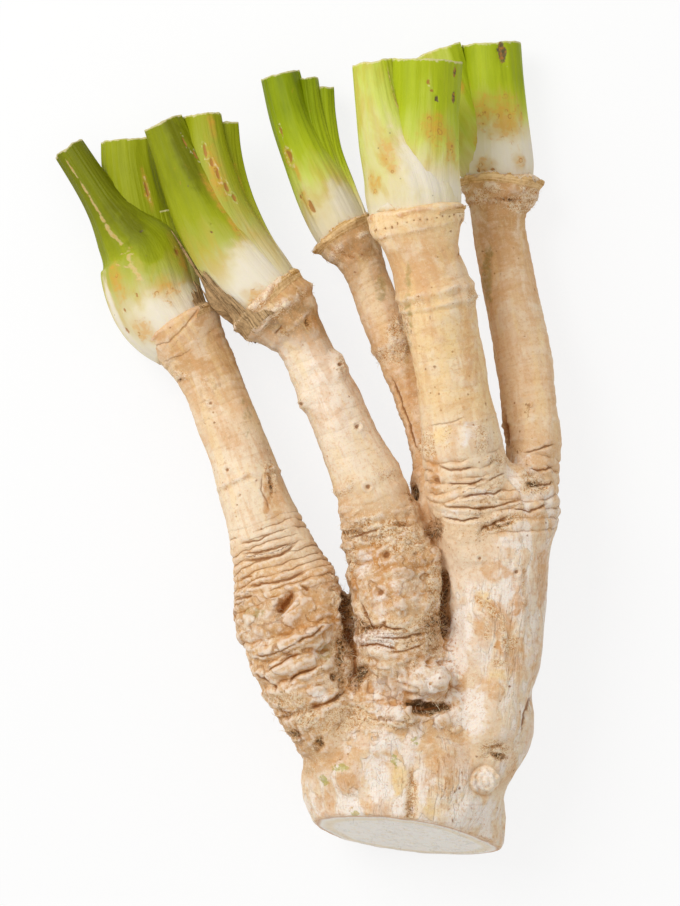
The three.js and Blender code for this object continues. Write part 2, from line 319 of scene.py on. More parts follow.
def get_field(mesh: Mesh, name: str) -> Array:
    """Reads back a stored field.

    Args:
        mesh: The mesh.
        name: The field's name.

    Returns:
        One number or one row per vertex.
    """
    stored = mesh.attributes[name]
    key, width = ("value", 1) if stored.data_type == "FLOAT" else ("vector", 3)
    return read(stored.data, key, width)


def tube_faces(rings: int, sides: int, first: int = 0) -> Array:
    """Lists the quads of a tube whose closed rings follow each other in the vertex list.

    Args:
        rings: Number of rings.
        sides: Vertices in each.
        first: Number of the first vertex.

    Returns:
        Four vertex numbers per quad.
    """
    ring, side = np.meshgrid(np.arange(rings - 1), np.arange(sides), indexing="ij")
    here, beside = first + ring * sides + side, first + ring * sides + (side + 1) % sides
    return np.stack([here, beside, beside + sides, here + sides], axis=-1).reshape(-1, 4)


def show_as(piece: Piece, material: Material, slot: str, *nodes: str) -> None:
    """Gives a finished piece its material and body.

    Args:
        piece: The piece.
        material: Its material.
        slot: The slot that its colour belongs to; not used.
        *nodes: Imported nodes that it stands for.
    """
    piece.data.materials.clear()
    piece.data.materials.append(material)
    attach(piece, "root")
    if nodes:
        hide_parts(*nodes)
    LOG.info("%s: %d faces", piece.name, len(piece.data.polygons))


# --- Materials ------------------------------------------------------------------------------------


def feed(tree: bpy.types.NodeTree, socket: Socket, value: object) -> None:
    """Links a socket to another's output, or sets its value.

    Args:
        tree: The node tree.
        socket: The socket.
        value: An output socket, a number, numbers, a hex colour, which is turned to linear light, or
            the name of one of the mesh's fields.
    """
    if isinstance(value, str) and not value.startswith("#"):
        value = add_node(tree, "ShaderNodeAttribute", attribute_name=value).outputs["Fac"]
    if isinstance(value, Socket):
        tree.links.new(value, socket)
    else:
        socket.default_value = linear(value) if isinstance(value, str) else value


def add_node(tree: bpy.types.NodeTree, kind: str, inputs: dict | None = None, **settings) -> bpy.types.Node:
    """Adds a shader node.

    Args:
        tree: The node tree.
        kind: The node's type.
        inputs: Socket name or number to what feeds it.
        **settings: Properties of the node.

    Returns:
        The node.
    """
    node = tree.nodes.new(kind)
    for key, value in settings.items():
        setattr(node, key, value)
    for key, value in (inputs or {}).items():
        feed(tree, node.inputs[key], value)
    return node


@dataclass(frozen=True)
class Sheen:
    """How blurred and how strong a finish's gloss is, and how far light goes into what is under it."""

    roughness: float
    gloss: float
    glow: float = 0.0
    glow_radius: tuple[float, float, float] = (1.0, 1.0, 1.0)
    glow_mm: float = 1.0


@dataclass
class Finish:
    """A material under way: its tree, its shader, and the steps that its patterns are made of.

    A value is an output socket, a number, a colour or the name of one of the mesh's fields. A size is one
    number of millimetres, or two for a pattern that is drawn out: across and along the limb.
    """

    name: str

    def __post_init__(self) -> None:
        """Makes the material with its one shader."""
        self.material = bpy.data.materials.new(self.name)
        self.material.use_nodes = True
        self.tree = self.material.node_tree
        self.shader = self.tree.nodes["Principled BSDF"]

    def add(self, kind: str, inputs: dict | None = None, output: int | str = 0, **settings) -> Socket:
        """Adds a node to this material and returns one of its outputs."""
        return add_node(self.tree, f"ShaderNode{kind}", inputs, **settings).outputs[output]

    def chain(self, operation: str, *values: object) -> Socket:
        """Carries out an arithmetic operation on the first two values, then on the result and the next."""
        return reduce(lambda a, b: self.add("Math", {0: a, 1: b}, operation=operation), values)

    def times(self, *shares: object) -> Socket:
        """Multiplies shares together."""
        return self.chain("MULTIPLY", *shares)

    def largest(self, *shares: object) -> Socket:
        """Picks the largest of some shares."""
        return self.chain("MAXIMUM", *shares)

    def shaken(self, value: object, by: object, strength: float) -> Socket:
        """Adds strength times (by - 0.5) to a value."""
        return self.chain("ADD", value, self.times(self.chain("SUBTRACT", by, 0.5), strength))

    def coordinates(self, size_mm: float | tuple[float, float]) -> Socket:
        """Scales coordinates, through the body or along the grain, to a real size.

        Args:
            size_mm: The size of what is one unit across in them.

        Returns:
            The coordinates.
        """
        if isinstance(size_mm, tuple):
            across, along = size_mm
            place = self.add("Attribute", output="Vector", attribute_name="grain")
            scale = (1 / across, 1 / across, 1 / along)
        else:
            place = self.add("TexCoord", output="Object")
            scale = (1 / (size_mm * MM),) * 3
        return self.add("Mapping", {"Vector": place, "Scale": scale})

    def speckle(self, size_mm: float | tuple[float, float], detail: float = 3, twist: float = 0) -> Socket:
        """Gives layered noise between 0 and 1.

        Args:
            size_mm: The size of its largest features.
            detail: Number of finer layers.
            twist: How much it twists itself.

        Returns:
            The noise.
        """
        inputs = {"Vector": self.coordinates(size_mm), "Scale": 1.0, "Detail": detail, "Distortion": twist}
        return self.add("TexNoise", inputs)

    def spots(self, size_mm: float) -> Socket:
        """Gives the distance, in spacings of so many millimetres, from the nearest of scattered points."""
        return self.add("TexVoronoi", {"Vector": self.coordinates(size_mm), "Scale": 1.0})

    def curls(self, size_mm: float, twist: float) -> Socket:
        """Gives thin curly ridges, 1 on each ridge: noise n becomes 1 - 6 |n - 0.5|, held above 0."""
        away = self.chain("ABSOLUTE", self.chain("SUBTRACT", self.speckle(size_mm, 2.5, twist), 0.5), 0)
        return self.largest(self.chain("SUBTRACT", 1, self.times(away, 6)), 0)

    def between(self, value: object, low: float, high: float) -> Socket:
        """Maps low..high to 0..1, smoothly and held at both ends."""
        inputs = {"Value": value, "From Min": low, "From Max": high}
        return self.add("MapRange", inputs, interpolation_type="SMOOTHSTEP")

    def line(self, name: str, shake: Socket, ink: float) -> Socket:
        """Draws the thin line where a stored signed distance, in half widths, passes 0.

        Args:
            name: The distance's attribute; the line's strength is in another that ends in _on.
            shake: Noise that makes the line ragged.
            ink: How dark the line is.

        Returns:
            A share, at most ink, on the line.
        """
        gap = self.chain("ABSOLUTE", self.shaken(name, shake, 1), 0)
        return self.times(self.between(gap, 1.2, 0.4), f"{name}_on", ink)

    def blend(self, share: object, under: object, over: object) -> Socket:
        """Lays the colour over on the colour under, by a share from 0 to 1."""
        inputs = {0: share, 6: under, 7: over}
        return self.add("Mix", inputs, 2, data_type="RGBA", clamp_factor=True)

    def lay(self, colour: object, *layers: tuple[object, float, float, object, object]) -> Socket:
        """Lays colours over one another, each by its pattern's smooth rise times its strength.

        Args:
            colour: The colour below them all.
            *layers: Each one's pattern, the pattern's values where it starts and is full, its strength
                and its colour.

        Returns:
            The colour on top.
        """
        for pattern, start, full, strength, shade in layers:
            colour = self.blend(self.times(self.between(pattern, start, full), strength), colour, shade)
        return colour

    def relief(self, *layers: tuple[object, float]) -> Socket:
        """Stacks bumps.

        Args:
            *layers: Each one's height from 0 to 1, and its real depth in millimetres.

        Returns:
            The normal.
        """
        normal = None
        for height, depth in layers:
            inputs = {"Height": height, "Distance": depth * MM, "Strength": 1.0}
            if normal is not None:
                inputs["Normal"] = normal
            normal = self.add("Bump", inputs)
        return normal

    def finished(self, colour: Socket, normal: Socket, look: Sheen) -> Material:
        """Feeds the shader.

        Args:
            colour: The colour on top.
            normal: The stacked bumps.
            look: The sheen.

        Returns:
            The finished material.
        """
        inputs = {
            "Base Color": colour,
            "Normal": normal,
            "Roughness": look.roughness,
            "Specular IOR Level": look.gloss,
            "Subsurface Weight": look.glow,
            "Subsurface Radius": look.glow_radius,
            "Subsurface Scale": look.glow_mm * MM,
        }
        for name, value in inputs.items():
            feed(self.tree, self.shader.inputs[name], value)
        return self.material


@dataclass(frozen=True)
class RootSkin:
    """Skin of a washed horseradish root: corky, matt and cream to tan.

    Real: thin cork over white flesh, rubbed through in places. It gives the eye dull cream skin with
    soft tan patches, fuzzy brown fibres at the nodes and in the folds, and soil left in the clefts.
    Painted shade darkens the hollows and clefts, and a painted highlight pales the ridges.
    """

    cream: str = "#f5e2c4"
    tan: str = "#dba770"
    yellow: str = "#f3d294"
    orange: str = "#c9873c"
    brown: str = "#aa6f34"
    line: str = "#8c5220"
    flesh: str = "#fbf1e6"
    gap: str = "#bb7a38"
    fibre: str = "#fae6c2"
    moss: str = "#a9a836"
    olive: str = "#94833e"
    grey: str = "#8f7d68"
    soil_and_shade: str = "#46300f"
    cut: str = "#fff8ee"
    sheen: Sheen = Sheen(0.6, 0.22, 0.08, (1.0, 0.6, 0.35), 1.2)
    fine_mm: float = 1.2
    flake_mm: float = 0.8
    mottle_mm: float = 8.0
    blotch_mm: float = 3.2
    fibre_mm: float = 1.1
    stroke_mm: tuple[float, float] = (0.5, 6.0)
    ring_mm: tuple[float, float] = (10.0, 0.9)
    peel_mm: tuple[float, float] = (4.5, 9.9)
    streak_mm: tuple[float, float] = (2.4, 16.0)
    dot_mm: float = 3.4
    dot_clump_mm: float = 14.0
    pith_mm: float = 1.6

    def build(self) -> Material:
        """Builds the material from fine noise, guided by the fields stored in the mesh.

        Returns:
            The material.
        """
        coat = Finish("root_skin")
        fine = coat.speckle(self.fine_mm, 4)
        flakes = coat.speckle(self.flake_mm, 5, 1.2)
        curls = coat.curls(self.fibre_mm, 1.6)
        hatch = coat.speckle(self.stroke_mm, 2, 0.4)
        rings = coat.speckle(self.ring_mm, 3, 0.3)
        peel = coat.speckle(self.peel_mm, 5, 0.9)
        colour = self.patches(coat, fine, peel)
        colour = self.texture(coat, colour, fine, flakes, curls, hatch, rings)
        # Dark lines along cracks, plate edges, fold creases and wrinkle valleys: partly the cork's own brown
        # there, partly painted shade in the creases.
        inks = {"crack": 0.9, "plate": 0.5, "fold": 0.8, "wrinkle": 0.7}
        dark = coat.largest(*(coat.line(name, fine, ink) for name, ink in inks.items()))
        colour = coat.blend(coat.times(dark, 0.85), colour, self.line)
        colour = self.cut_face(coat, colour, fine)

        rough = coat.chain("ADD", "blotchy", coat.times("fuzz", 0.4))
        bump = coat.relief(
            (fine, 0.14),
            (coat.times(flakes, rough), 0.28),
            (coat.times(rings, "ringed"), 0.16),
            (coat.times(coat.between(peel, 0.56, 0.5), "peeling"), 0.2),
            (coat.times(hatch, "hatch"), 0.3),
            (coat.times(curls, coat.between("fuzz", 0.2, 0.8)), 0.08),
            (coat.chain("SUBTRACT", 1.0, dark), 0.2),
        )
        return coat.finished(colour, bump, self.sheen)

    def patches(self, coat: Finish, fine: Socket, peel: Socket) -> Socket:
        """Lays soft patches of the skin's colours over the ground tone, each where its field says.

        Args:
            coat: The material under way.
            fine: Fine noise.
            peel: Noise drawn out along the limb.

        Returns:
            The patched colour.
        """
        mottle = coat.speckle(self.mottle_mm, 5, 0.7)
        blotch = coat.speckle(self.blotch_mm, 4, 0.9)
        streaks = coat.speckle(self.streak_mm, 3, 0.5)
        marks = (
            ("yellow", blotch, 0.75, self.yellow),
            ("tan", blotch, 0.7, self.tan),
            ("orange", blotch, 0.7, self.orange),
            ("grey", fine, 0.7, self.grey),
            ("olive", blotch, 0.65, self.olive),
            ("pale", blotch, 0.85, self.flesh),
        )
        return coat.lay(
            coat.add("Attribute", output="Color", attribute_name="tone"),
            (mottle, 0.5, 0.36, 0.5, self.cream),
            (mottle, 0.53, 0.7, 0.45, self.tan),
            (blotch, 0.55, 0.7, coat.times("blotchy", 0.6), self.tan),
            (peel, 0.47, 0.6, coat.times("peeling", 0.75), self.flesh),
            (peel, 0.47, 0.36, coat.times("peeling", 0.5), self.tan),
            (mottle, 0.5, 0.62, coat.times("peeling", 0.4), self.flesh),
            (streaks, 0.5, 0.64, coat.times("sleek", 0.4), self.yellow),
            (streaks, 0.48, 0.36, coat.times("sleek", 0.45), self.tan),
            *(
                (coat.shaken(name, edge, 1.6), 0.25, 0.9, much, hue)
                for name, edge, much, hue in marks
            ),
            (coat.shaken("moss", fine, 2.2), 0.45, 0.8, 0.7, self.moss),
        )

    def texture(
        self, coat: Finish, colour: Socket, fine: Socket, flakes: Socket, curls: Socket, hatch: Socket,
        rings: Socket,
    ) -> Socket:
        """Lays rings, hatching, flakes, fibres, small dots and soil over the patches, with painted shade in
        the hollows and clefts and a painted highlight on the ridges.

        Args:
            coat: The material under way.
            colour: The patched colour.
            fine: Fine noise.
            flakes: Finer, twisted noise.
            curls: Curly ridges.
            hatch: Short strokes along the limb.
            rings: Rings round the limb.

        Returns:
            The colour with its texture.
        """
        fuzzy = coat.shaken("fuzz", flakes, 1.6)
        fuzz = coat.between(fuzzy, 0.2, 0.8)
        dull = coat.chain("SUBTRACT", 0.4, coat.times("sleek", 0.3))
        chosen = coat.between(coat.speckle(self.dot_clump_mm, 1), 0.5, 0.6)
        soil_and_shade = coat.shaken(coat.shaken("soil_and_shade", fine, 0.9), flakes, 1.4)
        return coat.lay(
            colour,
            (rings, 0.56, 0.74, coat.times("ringed", 0.45), self.brown),
            (hatch, 0.52, 0.68, coat.times("hatch", 0.6), self.brown),
            (fine, 0.54, 0.72, 0.45, self.tan),
            (fine, 0.46, 0.3, dull, self.cream),
            (flakes, 0.54, 0.66, coat.times("blotchy", 0.65), self.orange),
            (flakes, 0.46, 0.34, coat.times("blotchy", 0.6), self.fibre),
            (fuzzy, 0.2, 0.8, 0.5, self.tan),
            # On the fuzz, the brown between the curls is partly the skin below and partly painted shade
            # between the fibres. The pale on the curls is partly their own colour and partly a painted
            # highlight.
            (curls, 0.5, 0.0, coat.times(fuzz, 0.7), self.gap),
            # Orange laid by how hollow the surface is: painted shade in the hollows.
            ("sunken", 0.1, 0.9, 0.65, self.orange),
            # Pale flesh laid by how much the surface bulges: partly rubbed skin on the ridges, partly a
            # painted highlight there.
            ("worn_and_highlit", 0.05, 0.9, 0.5, self.flesh),
            (curls, 0.45, 0.9, coat.times(fuzz, 0.85), self.fibre),
            (coat.spots(self.dot_mm), 0.13, 0.06, coat.times(chosen, 0.7), self.brown),
            (coat.shaken("pit", fine, 0.6), 0.35, 0.75, 0.75, self.line),
            # Brown and near-black from the soil field: soil in cracks and patches, and painted shade in every
            # hollow of rough skin and in the clefts between limbs.
            (soil_and_shade, 0.25, 0.75, 0.6, self.brown),
            (soil_and_shade, 0.7, 1.0, 0.85, self.soil_and_shade),
        )

    def cut_face(self, coat: Finish, colour: Socket, fine: Socket) -> Socket:
        """Shows the flesh where the knife went through: white, with a ring under the skin.

        Args:
            coat: The material under way.
            colour: The skin's colour.
            fine: Fine noise.

        Returns:
            The skin's colour, or the flesh's where the cut field says.
        """
        ring = coat.times(coat.between("pith", 0.78, 0.86), coat.between("pith", 0.97, 0.88), 0.4)
        spots = coat.between(coat.speckle(self.pith_mm, 4, 0.5), 0.5, 0.72)
        face = coat.blend(coat.largest(ring, coat.times(spots, 0.3)), self.cut, self.yellow)
        face = coat.lay(face, ("pith", 0.95, 1.0, 0.7, self.orange))
        return coat.lay(colour, (coat.shaken("cut", fine, 0.3), 0.4, 0.6, 1.0, face))


@dataclass(frozen=True)
class StalkSkin:
    """Skin of a fresh horseradish leaf stalk: smooth, juicy and ribbed along its length.

    Real: a petiole with air channels, white where the soil kept the light off and green above. It
    gives the eye a soft sheen, green lines along the ribs and corky scars with pale rims.
    """

    white: str = "#e9dfc9"
    cream: str = "#e4d6a4"
    lime: str = "#d1d866"
    green: str = "#b1c01e"
    leaf: str = "#8a9c04"
    deep: str = "#5c6e00"
    gold: str = "#cda33e"
    olive: str = "#7c7202"
    blush: str = "#d99a3c"
    scar: str = "#b0763a"
    grey: str = "#6a5b40"
    rim: str = "#ecdcb2"
    cut: str = "#e9ecc0"
    sheen: Sheen = Sheen(0.5, 0.16, 0.12, (0.8, 1.0, 0.3), 1.4)
    line_mm: tuple[float, float] = (0.6, 40.0)
    band_mm: tuple[float, float] = (3.4, 60.0)
    cloud_mm: tuple[float, float] = (4.5, 11.0)
    fine_mm: float = 0.9
    spot_mm: float = 2.2
    ringlet_mm: float = 2.6
    dot_mm: float = 4.5
    dot_clump_mm: float = 11.0
    pith_mm: float = 0.8

    def build(self) -> Material:
        """Builds the material: a ramp from white to deep green, read from the ripe field and streaks.

        Returns:
            The material.
        """
        coat = Finish("leaf_stalk_skin")
        lines = coat.speckle(self.line_mm, 3)
        bands = coat.speckle(self.band_mm, 2, 0.3)
        cloud = coat.speckle(self.cloud_mm, 4, 0.6)
        fine = coat.speckle(self.fine_mm, 3)
        leafy = coat.between("ripe", 0.02, 0.4)
        streak = coat.times(coat.shaken(0.0, lines, 0.1), leafy)
        streak = coat.chain("ADD", streak, coat.times(coat.shaken(0.0, bands, 0.26), leafy))
        ripe = coat.shaken(coat.chain("ADD", "ripe", streak), cloud, 0.15)
        colour = coat.blend(coat.times("olive", leafy), self.ripening(coat, ripe), self.olive)
        colour = self.scars(coat, colour, ripe, cloud, fine)
        corky = coat.times(fine, coat.largest("grey", "seam"))
        bump = coat.relief((lines, 0.14), (fine, 0.06), (corky, 0.4))
        return coat.finished(colour, bump, self.sheen)

    def ripening(self, coat: Finish, ripe: Socket) -> Socket:
        """Ramps from the white of the foot through lime to deep green.

        Args:
            coat: The material under way.
            ripe: How ripe the skin is, from 0 to 1.

        Returns:
            The colour.
        """
        ramp = add_node(coat.tree, "ShaderNodeValToRGB", {"Fac": ripe})
        elements = ramp.color_ramp.elements
        elements[0].position, elements[0].color = 0.0, linear(self.white)
        elements[1].position, elements[1].color = 1.0, linear(self.deep)
        for place, shade in ((0.18, self.cream), (0.36, self.lime), (0.56, self.green), (0.78, self.leaf)):
            elements.new(place).color = linear(shade)
        return ramp.outputs["Color"]

    def scars(self, coat: Finish, colour: Socket, ripe: Socket, cloud: Socket, fine: Socket) -> Socket:
        """Lays gold, blushes, ringlets, seams, scars and dots over the green, and the pith on the cut end.

        Args:
            coat: The material under way.
            colour: The green.
            ripe: How ripe the skin is.
            cloud: Wide noise drawn out along the stalk.
            fine: Fine noise.

        Returns:
            The marked colour.
        """
        spots = coat.speckle(self.spot_mm, 3, 1.0)
        flecked = coat.shaken(coat.shaken("blush", cloud, 1.0), spots, 3.0)
        ringlet = coat.spots(self.ringlet_mm)
        outside = coat.times(coat.between(ringlet, 0.32, 0.26), coat.between(flecked, 0.5, 1.3), 0.7)
        cork = coat.blend(coat.between(spots, 0.45, 0.6), self.grey, self.scar)
        marks = (
            ("rim", self.rim, 0.6), ("torn", self.rim, 0.6), ("scar", self.scar, 0.85), ("grey", cork, 0.95)
        )
        chosen = coat.between(coat.speckle(self.dot_clump_mm, 1), 0.55, 0.62)
        pith = coat.lay(self.cut, (coat.speckle(self.pith_mm, 2), 0.45, 0.6, 1.0, self.lime))
        pale = coat.times(coat.between(ripe, 0.05, 0.25), coat.between(ripe, 0.6, 0.35), 0.4)
        frayed = coat.blend(fine, self.rim, self.blush)
        return coat.lay(
            colour,
            (cloud, 0.42, 0.66, pale, self.gold),
            ("blush", 0.0, 1.0, 0.45, self.gold),
            (flecked, 0.5, 1.3, 0.45, self.blush),
            (ringlet, 0.16, 0.22, outside, self.scar),
            (coat.shaken("seam", fine, 0.9), 0.35, 0.8, 0.6, frayed),
            *((coat.shaken(name, fine, 1.2), 0.3, 0.75, much, hue) for name, hue, much in marks),
            (coat.spots(self.dot_mm), 0.08, 0.04, coat.times(chosen, 0.7), self.grey),
            ("cut", 0.3, 0.7, 1.0, pith),
        )


@dataclass(frozen=True)
class DryFibre:
    """Dried fibres and papery scale remains: thin and matt, from pale straw to grey-brown."""

    name: str
    light: str
    dark: str
    sheen: Sheen = Sheen(0.75, 0.15)
    fine_mm: float = 0.9
    strand_mm: tuple[float, float] = (0.5, 14.0)

    def build(self) -> Material:
        """Builds the material: two shades mixed by each fibre's own number and streaks along it.

        Returns:
            The material.
        """
        coat = Finish(self.name)
        fine = coat.speckle(self.fine_mm, 3, 0.8)
        strands = coat.speckle(self.strand_mm, 3, 0.4)
        share = coat.shaken(coat.shaken("shade", fine, 0.7), strands, 1.8)
        colour = coat.lay(self.light, (share, 0.1, 0.95, 1.0, self.dark))
        return coat.finished(colour, coat.relief((fine, 0.3), (strands, 0.2)), self.sheen)


# --- What grows where on the root -----------------------------------------------------------------


class Mark(Enum):
    """What a patch lays on the root's skin."""

    TAN = "tan"
    YELLOW = "yellow"
    ORANGE = "orange"
    PALE = "pale"
    GREY = "grey"
    OLIVE = "olive"
    MOSS = "moss"
    SOIL_AND_SHADE = "soil_and_shade"
    HATCH = "hatch"
    FUZZ = "fuzz"


@dataclass(frozen=True)
class Patch:
    """An oval area on the upper side, in plan, with ragged edges; it can sink into the root."""

    mark: Mark
    x: float
    y: float
    half_x: float
    half_y: float
    strength: float = 1.0
    sink: float = 0.0
    turn: float = 0.0


@dataclass(frozen=True)
class Form:
    """A swelling or hollow on the upper side, in plan."""

    x: float
    y: float
    half_x: float
    half_y: float
    height: float
    turn: float = 0.0


@dataclass(frozen=True)
class Crack:
    """A crack, crease or cleft on the upper side, in plan: half width, depth and share of soil in it."""

    line: Points
    width: float
    depth: float
    soil_and_shade: float = 0.0


@dataclass(frozen=True)
class Pit:
    """A round scar with a raised rim, where a side root or scale broke off."""

    x: float
    y: float
    radius: float


@dataclass(frozen=True)
class NodeRing:
    """A ring round a neck, left by the base of an old leaf."""

    limb: str
    y: float
    width: float
    height: float
    fuzz: float = 0.5
    orange: float = 0.3
    grey: float = 0.0


@dataclass(frozen=True)
class WrinkleBand:
    """A stretch of a limb that is wrinkled across, where the root contracted."""

    limb: str
    y_low: float
    y_high: float
    spacing: float
    depth: float
    drawn: float = 0.6


class Tone(Enum):
    """Ground colours of the skin, from fresh and pale to dry and corky."""

    MILK = "#f4e2cc"
    CREAM = "#efd8b8"
    PEACH = "#eac89e"
    STRAW = "#f0cf9a"
    TAN = "#ddb17e"
    BARK = "#c99b66"
    HUSK = "#b08858"


@dataclass(frozen=True)
class Sinking:
    """How far a neck and its crown hang below the rest: nothing at y_from, the full depth at y_to."""

    y_from: float
    y_to: float
    depth: float


SINKING = {"neck_1": Sinking(-50, 50, 4.0), "neck_5": Sinking(-20, 90, 3.3)}
CENTRED = np.array((0.2, 0.5, 0.4))


def placed(stations: Points, neck: str) -> Array:
    """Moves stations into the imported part's frame.

    Args:
        stations: Rows that start with x, y and z.
        neck: The neck that they belong to.

    Returns:
        The rows, with z lowered by depth * share of the way sunk, and then centred.
    """
    rows = np.array(stations, float)
    if neck in SINKING:
        sinking = SINKING[neck]
        rows[:, 2] -= sinking.depth * np.interp(rows[:, 1], (sinking.y_from, sinking.y_to), (0, 1))
    rows[:, :3] += CENTRED
    return rows


@dataclass(frozen=True)
class Limb:
    """A lobe or neck of the root.

    Its stations are points of its middle line with the radius there. Its tones are the skin's ground
    colours at values of y. The folds are how deeply it is folded at values of y, and the crust is how
    crusty it is there.
    """

    name: str
    stations: Points
    tones: tuple[tuple[float, Tone], ...]
    folds: Points
    crust: Points

    def samples(self) -> tuple[Array, Array, Array, Array, Array, Array]:
        """Samples the limb.

        Returns:
            The path's points, radii, tangents, sides, outward ways and run lengths.
        """
        rows = smooth_rows(placed(self.stations, self.name), 12)
        path, radius = rows[:, :3], rows[:, 3]
        tangent, side, outward, run = path_frames(path)
        return path, radius, tangent, side, outward, run

    def run_at(self, y: float) -> float:
        """Returns the run length where the limb's middle passes the given y."""
        path, *_, run = self.samples()
        return float(np.interp(y, path[:, 1], run))

    def tone_at(self, y: Array) -> Array:
        """Returns the ground colour at each y, in linear light."""
        stops = np.array([linear(tone.value)[:3] for _, tone in self.tones])
        return np.stack([np.interp(y, [stop[0] for stop in self.tones], part) for part in stops.T], axis=1)


LIMBS = (
    Limb(
        "taproot",
        ((29, -132, 23, 24), (30, -105, 23.5, 27), (30, -86, 23, 28), (28, -64, 24, 24)),
        ((-105, Tone.CREAM), (-90, Tone.PEACH), (-80, Tone.TAN), (-64, Tone.BARK)),
        ((-118, 0.2), (-90, 0.25), (-80, 0.6), (-60, 0.8)),
        ((-92, 0.1), (-80, 0.6), (-60, 0.8)),
    ),
    Limb(
        "right_lobe",
        ((52.4, -90, 28, 14), (54.4, -72, 29, 14), (56.4, -40, 30, 15), (56, -20, 31, 17),
         (55, -8, 31, 12)),
        ((-100, Tone.CREAM), (-60, Tone.CREAM), (-40, Tone.MILK), (-22, Tone.PEACH), (-8, Tone.PEACH)),
        ((-100, 0.1), (-30, 0.1), (-14, 0.25)),
        ((-90, 0.0), (-30, 0.0), (-20, 0.25), (-8, 0.25)),
    ),
    Limb(
        "neck_1",
        ((8.6, -85, 27, 13.5), (1, -72, 29, 14.3), (-4.5, -50, 28, 16.7), (-11, -30.5, 26, 12.3),
         (-17.2, -12.5, 25, 10.1), (-24.6, 9, 23, 9.2), (-32, 25, 21, 9.7), (-38.4, 36, 19.2, 12.4),
         (-39.6, 38, 19, 12)),
        # The bark stop at y 26 is partly the neck's own darker skin and partly painted shade on its shaded
        # upper part.
        ((-85, Tone.BARK), (-66, Tone.TAN), (-50, Tone.BARK), (-36, Tone.TAN), (-26, Tone.CREAM),
         (0, Tone.CREAM), (12, Tone.PEACH), (26, Tone.BARK), (38, Tone.TAN)),
        ((-85, 0.7), (-60, 0.8), (-44, 0.6), (-30, 0.25), (-10, 0.08), (40, 0.08)),
        ((-85, 0.7), (-60, 0.5), (-34, 0.3), (-24, 0.0), (40, 0.0)),
    ),
    Limb(
        "neck_2",
        ((27, -68, 31, 13.2), (27, -45.5, 32, 14.4), (22.2, -23.7, 31, 12), (13.4, -0.6, 30, 9.4),
         (4.2, 20, 28.5, 8.4), (-2.8, 33.6, 27.5, 8.3), (-9.2, 41, 26.8, 12), (-13.2, 45.4, 26.3, 11.4)),
        ((-67, Tone.CREAM), (-52, Tone.PEACH), (-34, Tone.BARK), (-22, Tone.BARK), (-8, Tone.CREAM),
         (14, Tone.MILK), (28, Tone.MILK), (36, Tone.HUSK), (42, Tone.HUSK), (46, Tone.BARK)),
        ((-70, 0.6), (-45, 0.5), (-24, 0.4), (-10, 0.1), (46, 0.1)),
        ((-70, 0.7), (-45, 0.7), (-26, 0.8), (-14, 0.1), (46, 0.0)),
    ),
    Limb(
        "neck_3",
        ((42, -38, 27, 7.2), (37.4, -3.6, 21, 6.2), (30.6, 19, 19, 6.2), (22.6, 40, 17, 6.5),
         (15.2, 58, 14.5, 7.1), (11.8, 63.4, 13.5, 9.3), (10, 66.2, 13.2, 9.4)),
        ((-37, Tone.BARK), (0, Tone.TAN), (30, Tone.TAN), (42, Tone.PEACH), (60, Tone.HUSK),
         (67, Tone.BARK)),
        ((-37, 0.3), (67, 0.12)),
        ((-37, 0.8), (-10, 0.5), (20, 0.25), (40, 0.05)),
    ),
    Limb(
        "neck_4",
        ((54, -34, 33, 11), (46.3, -3.6, 37, 12.3), (42.2, 23, 40, 10.4), (37.6, 46.6, 42, 11.5),
         (35, 55, 42.5, 10.3), (32.2, 66, 43, 13.5), (31.6, 70.8, 43, 13)),
        ((-34, Tone.CREAM), (-14, Tone.PEACH), (4, Tone.CREAM), (14, Tone.STRAW), (40, Tone.STRAW),
         (48, Tone.TAN), (57, Tone.TAN), (66, Tone.STRAW), (71, Tone.STRAW)),
        ((-34, 0.2), (-16, 0.25), (0, 0.1), (71, 0.08)),
        ((-34, 0.3), (-14, 0.3), (2, 0.05), (71, 0.0)),
    ),
    Limb(
        "neck_5",
        ((62, -34, 28, 9.5), (67.6, 2.4, 24, 8.6), (64.2, 29.4, 20.6, 8.6), (59.5, 56.7, 17, 8),
         (57.4, 71.4, 15.2, 8.7), (58, 79, 14.6, 11.4), (58.2, 81.8, 14.4, 11.1)),
        ((-34, Tone.CREAM), (-10, Tone.TAN), (10, Tone.PEACH), (34, Tone.PEACH), (56, Tone.TAN),
         (70, Tone.BARK), (82, Tone.BARK)),
        ((-34, 0.15), (82, 0.1)),
        ((-34, 0.3), (-4, 0.2), (10, 0.0), (60, 0.0), (74, 0.3)),
    ),
)

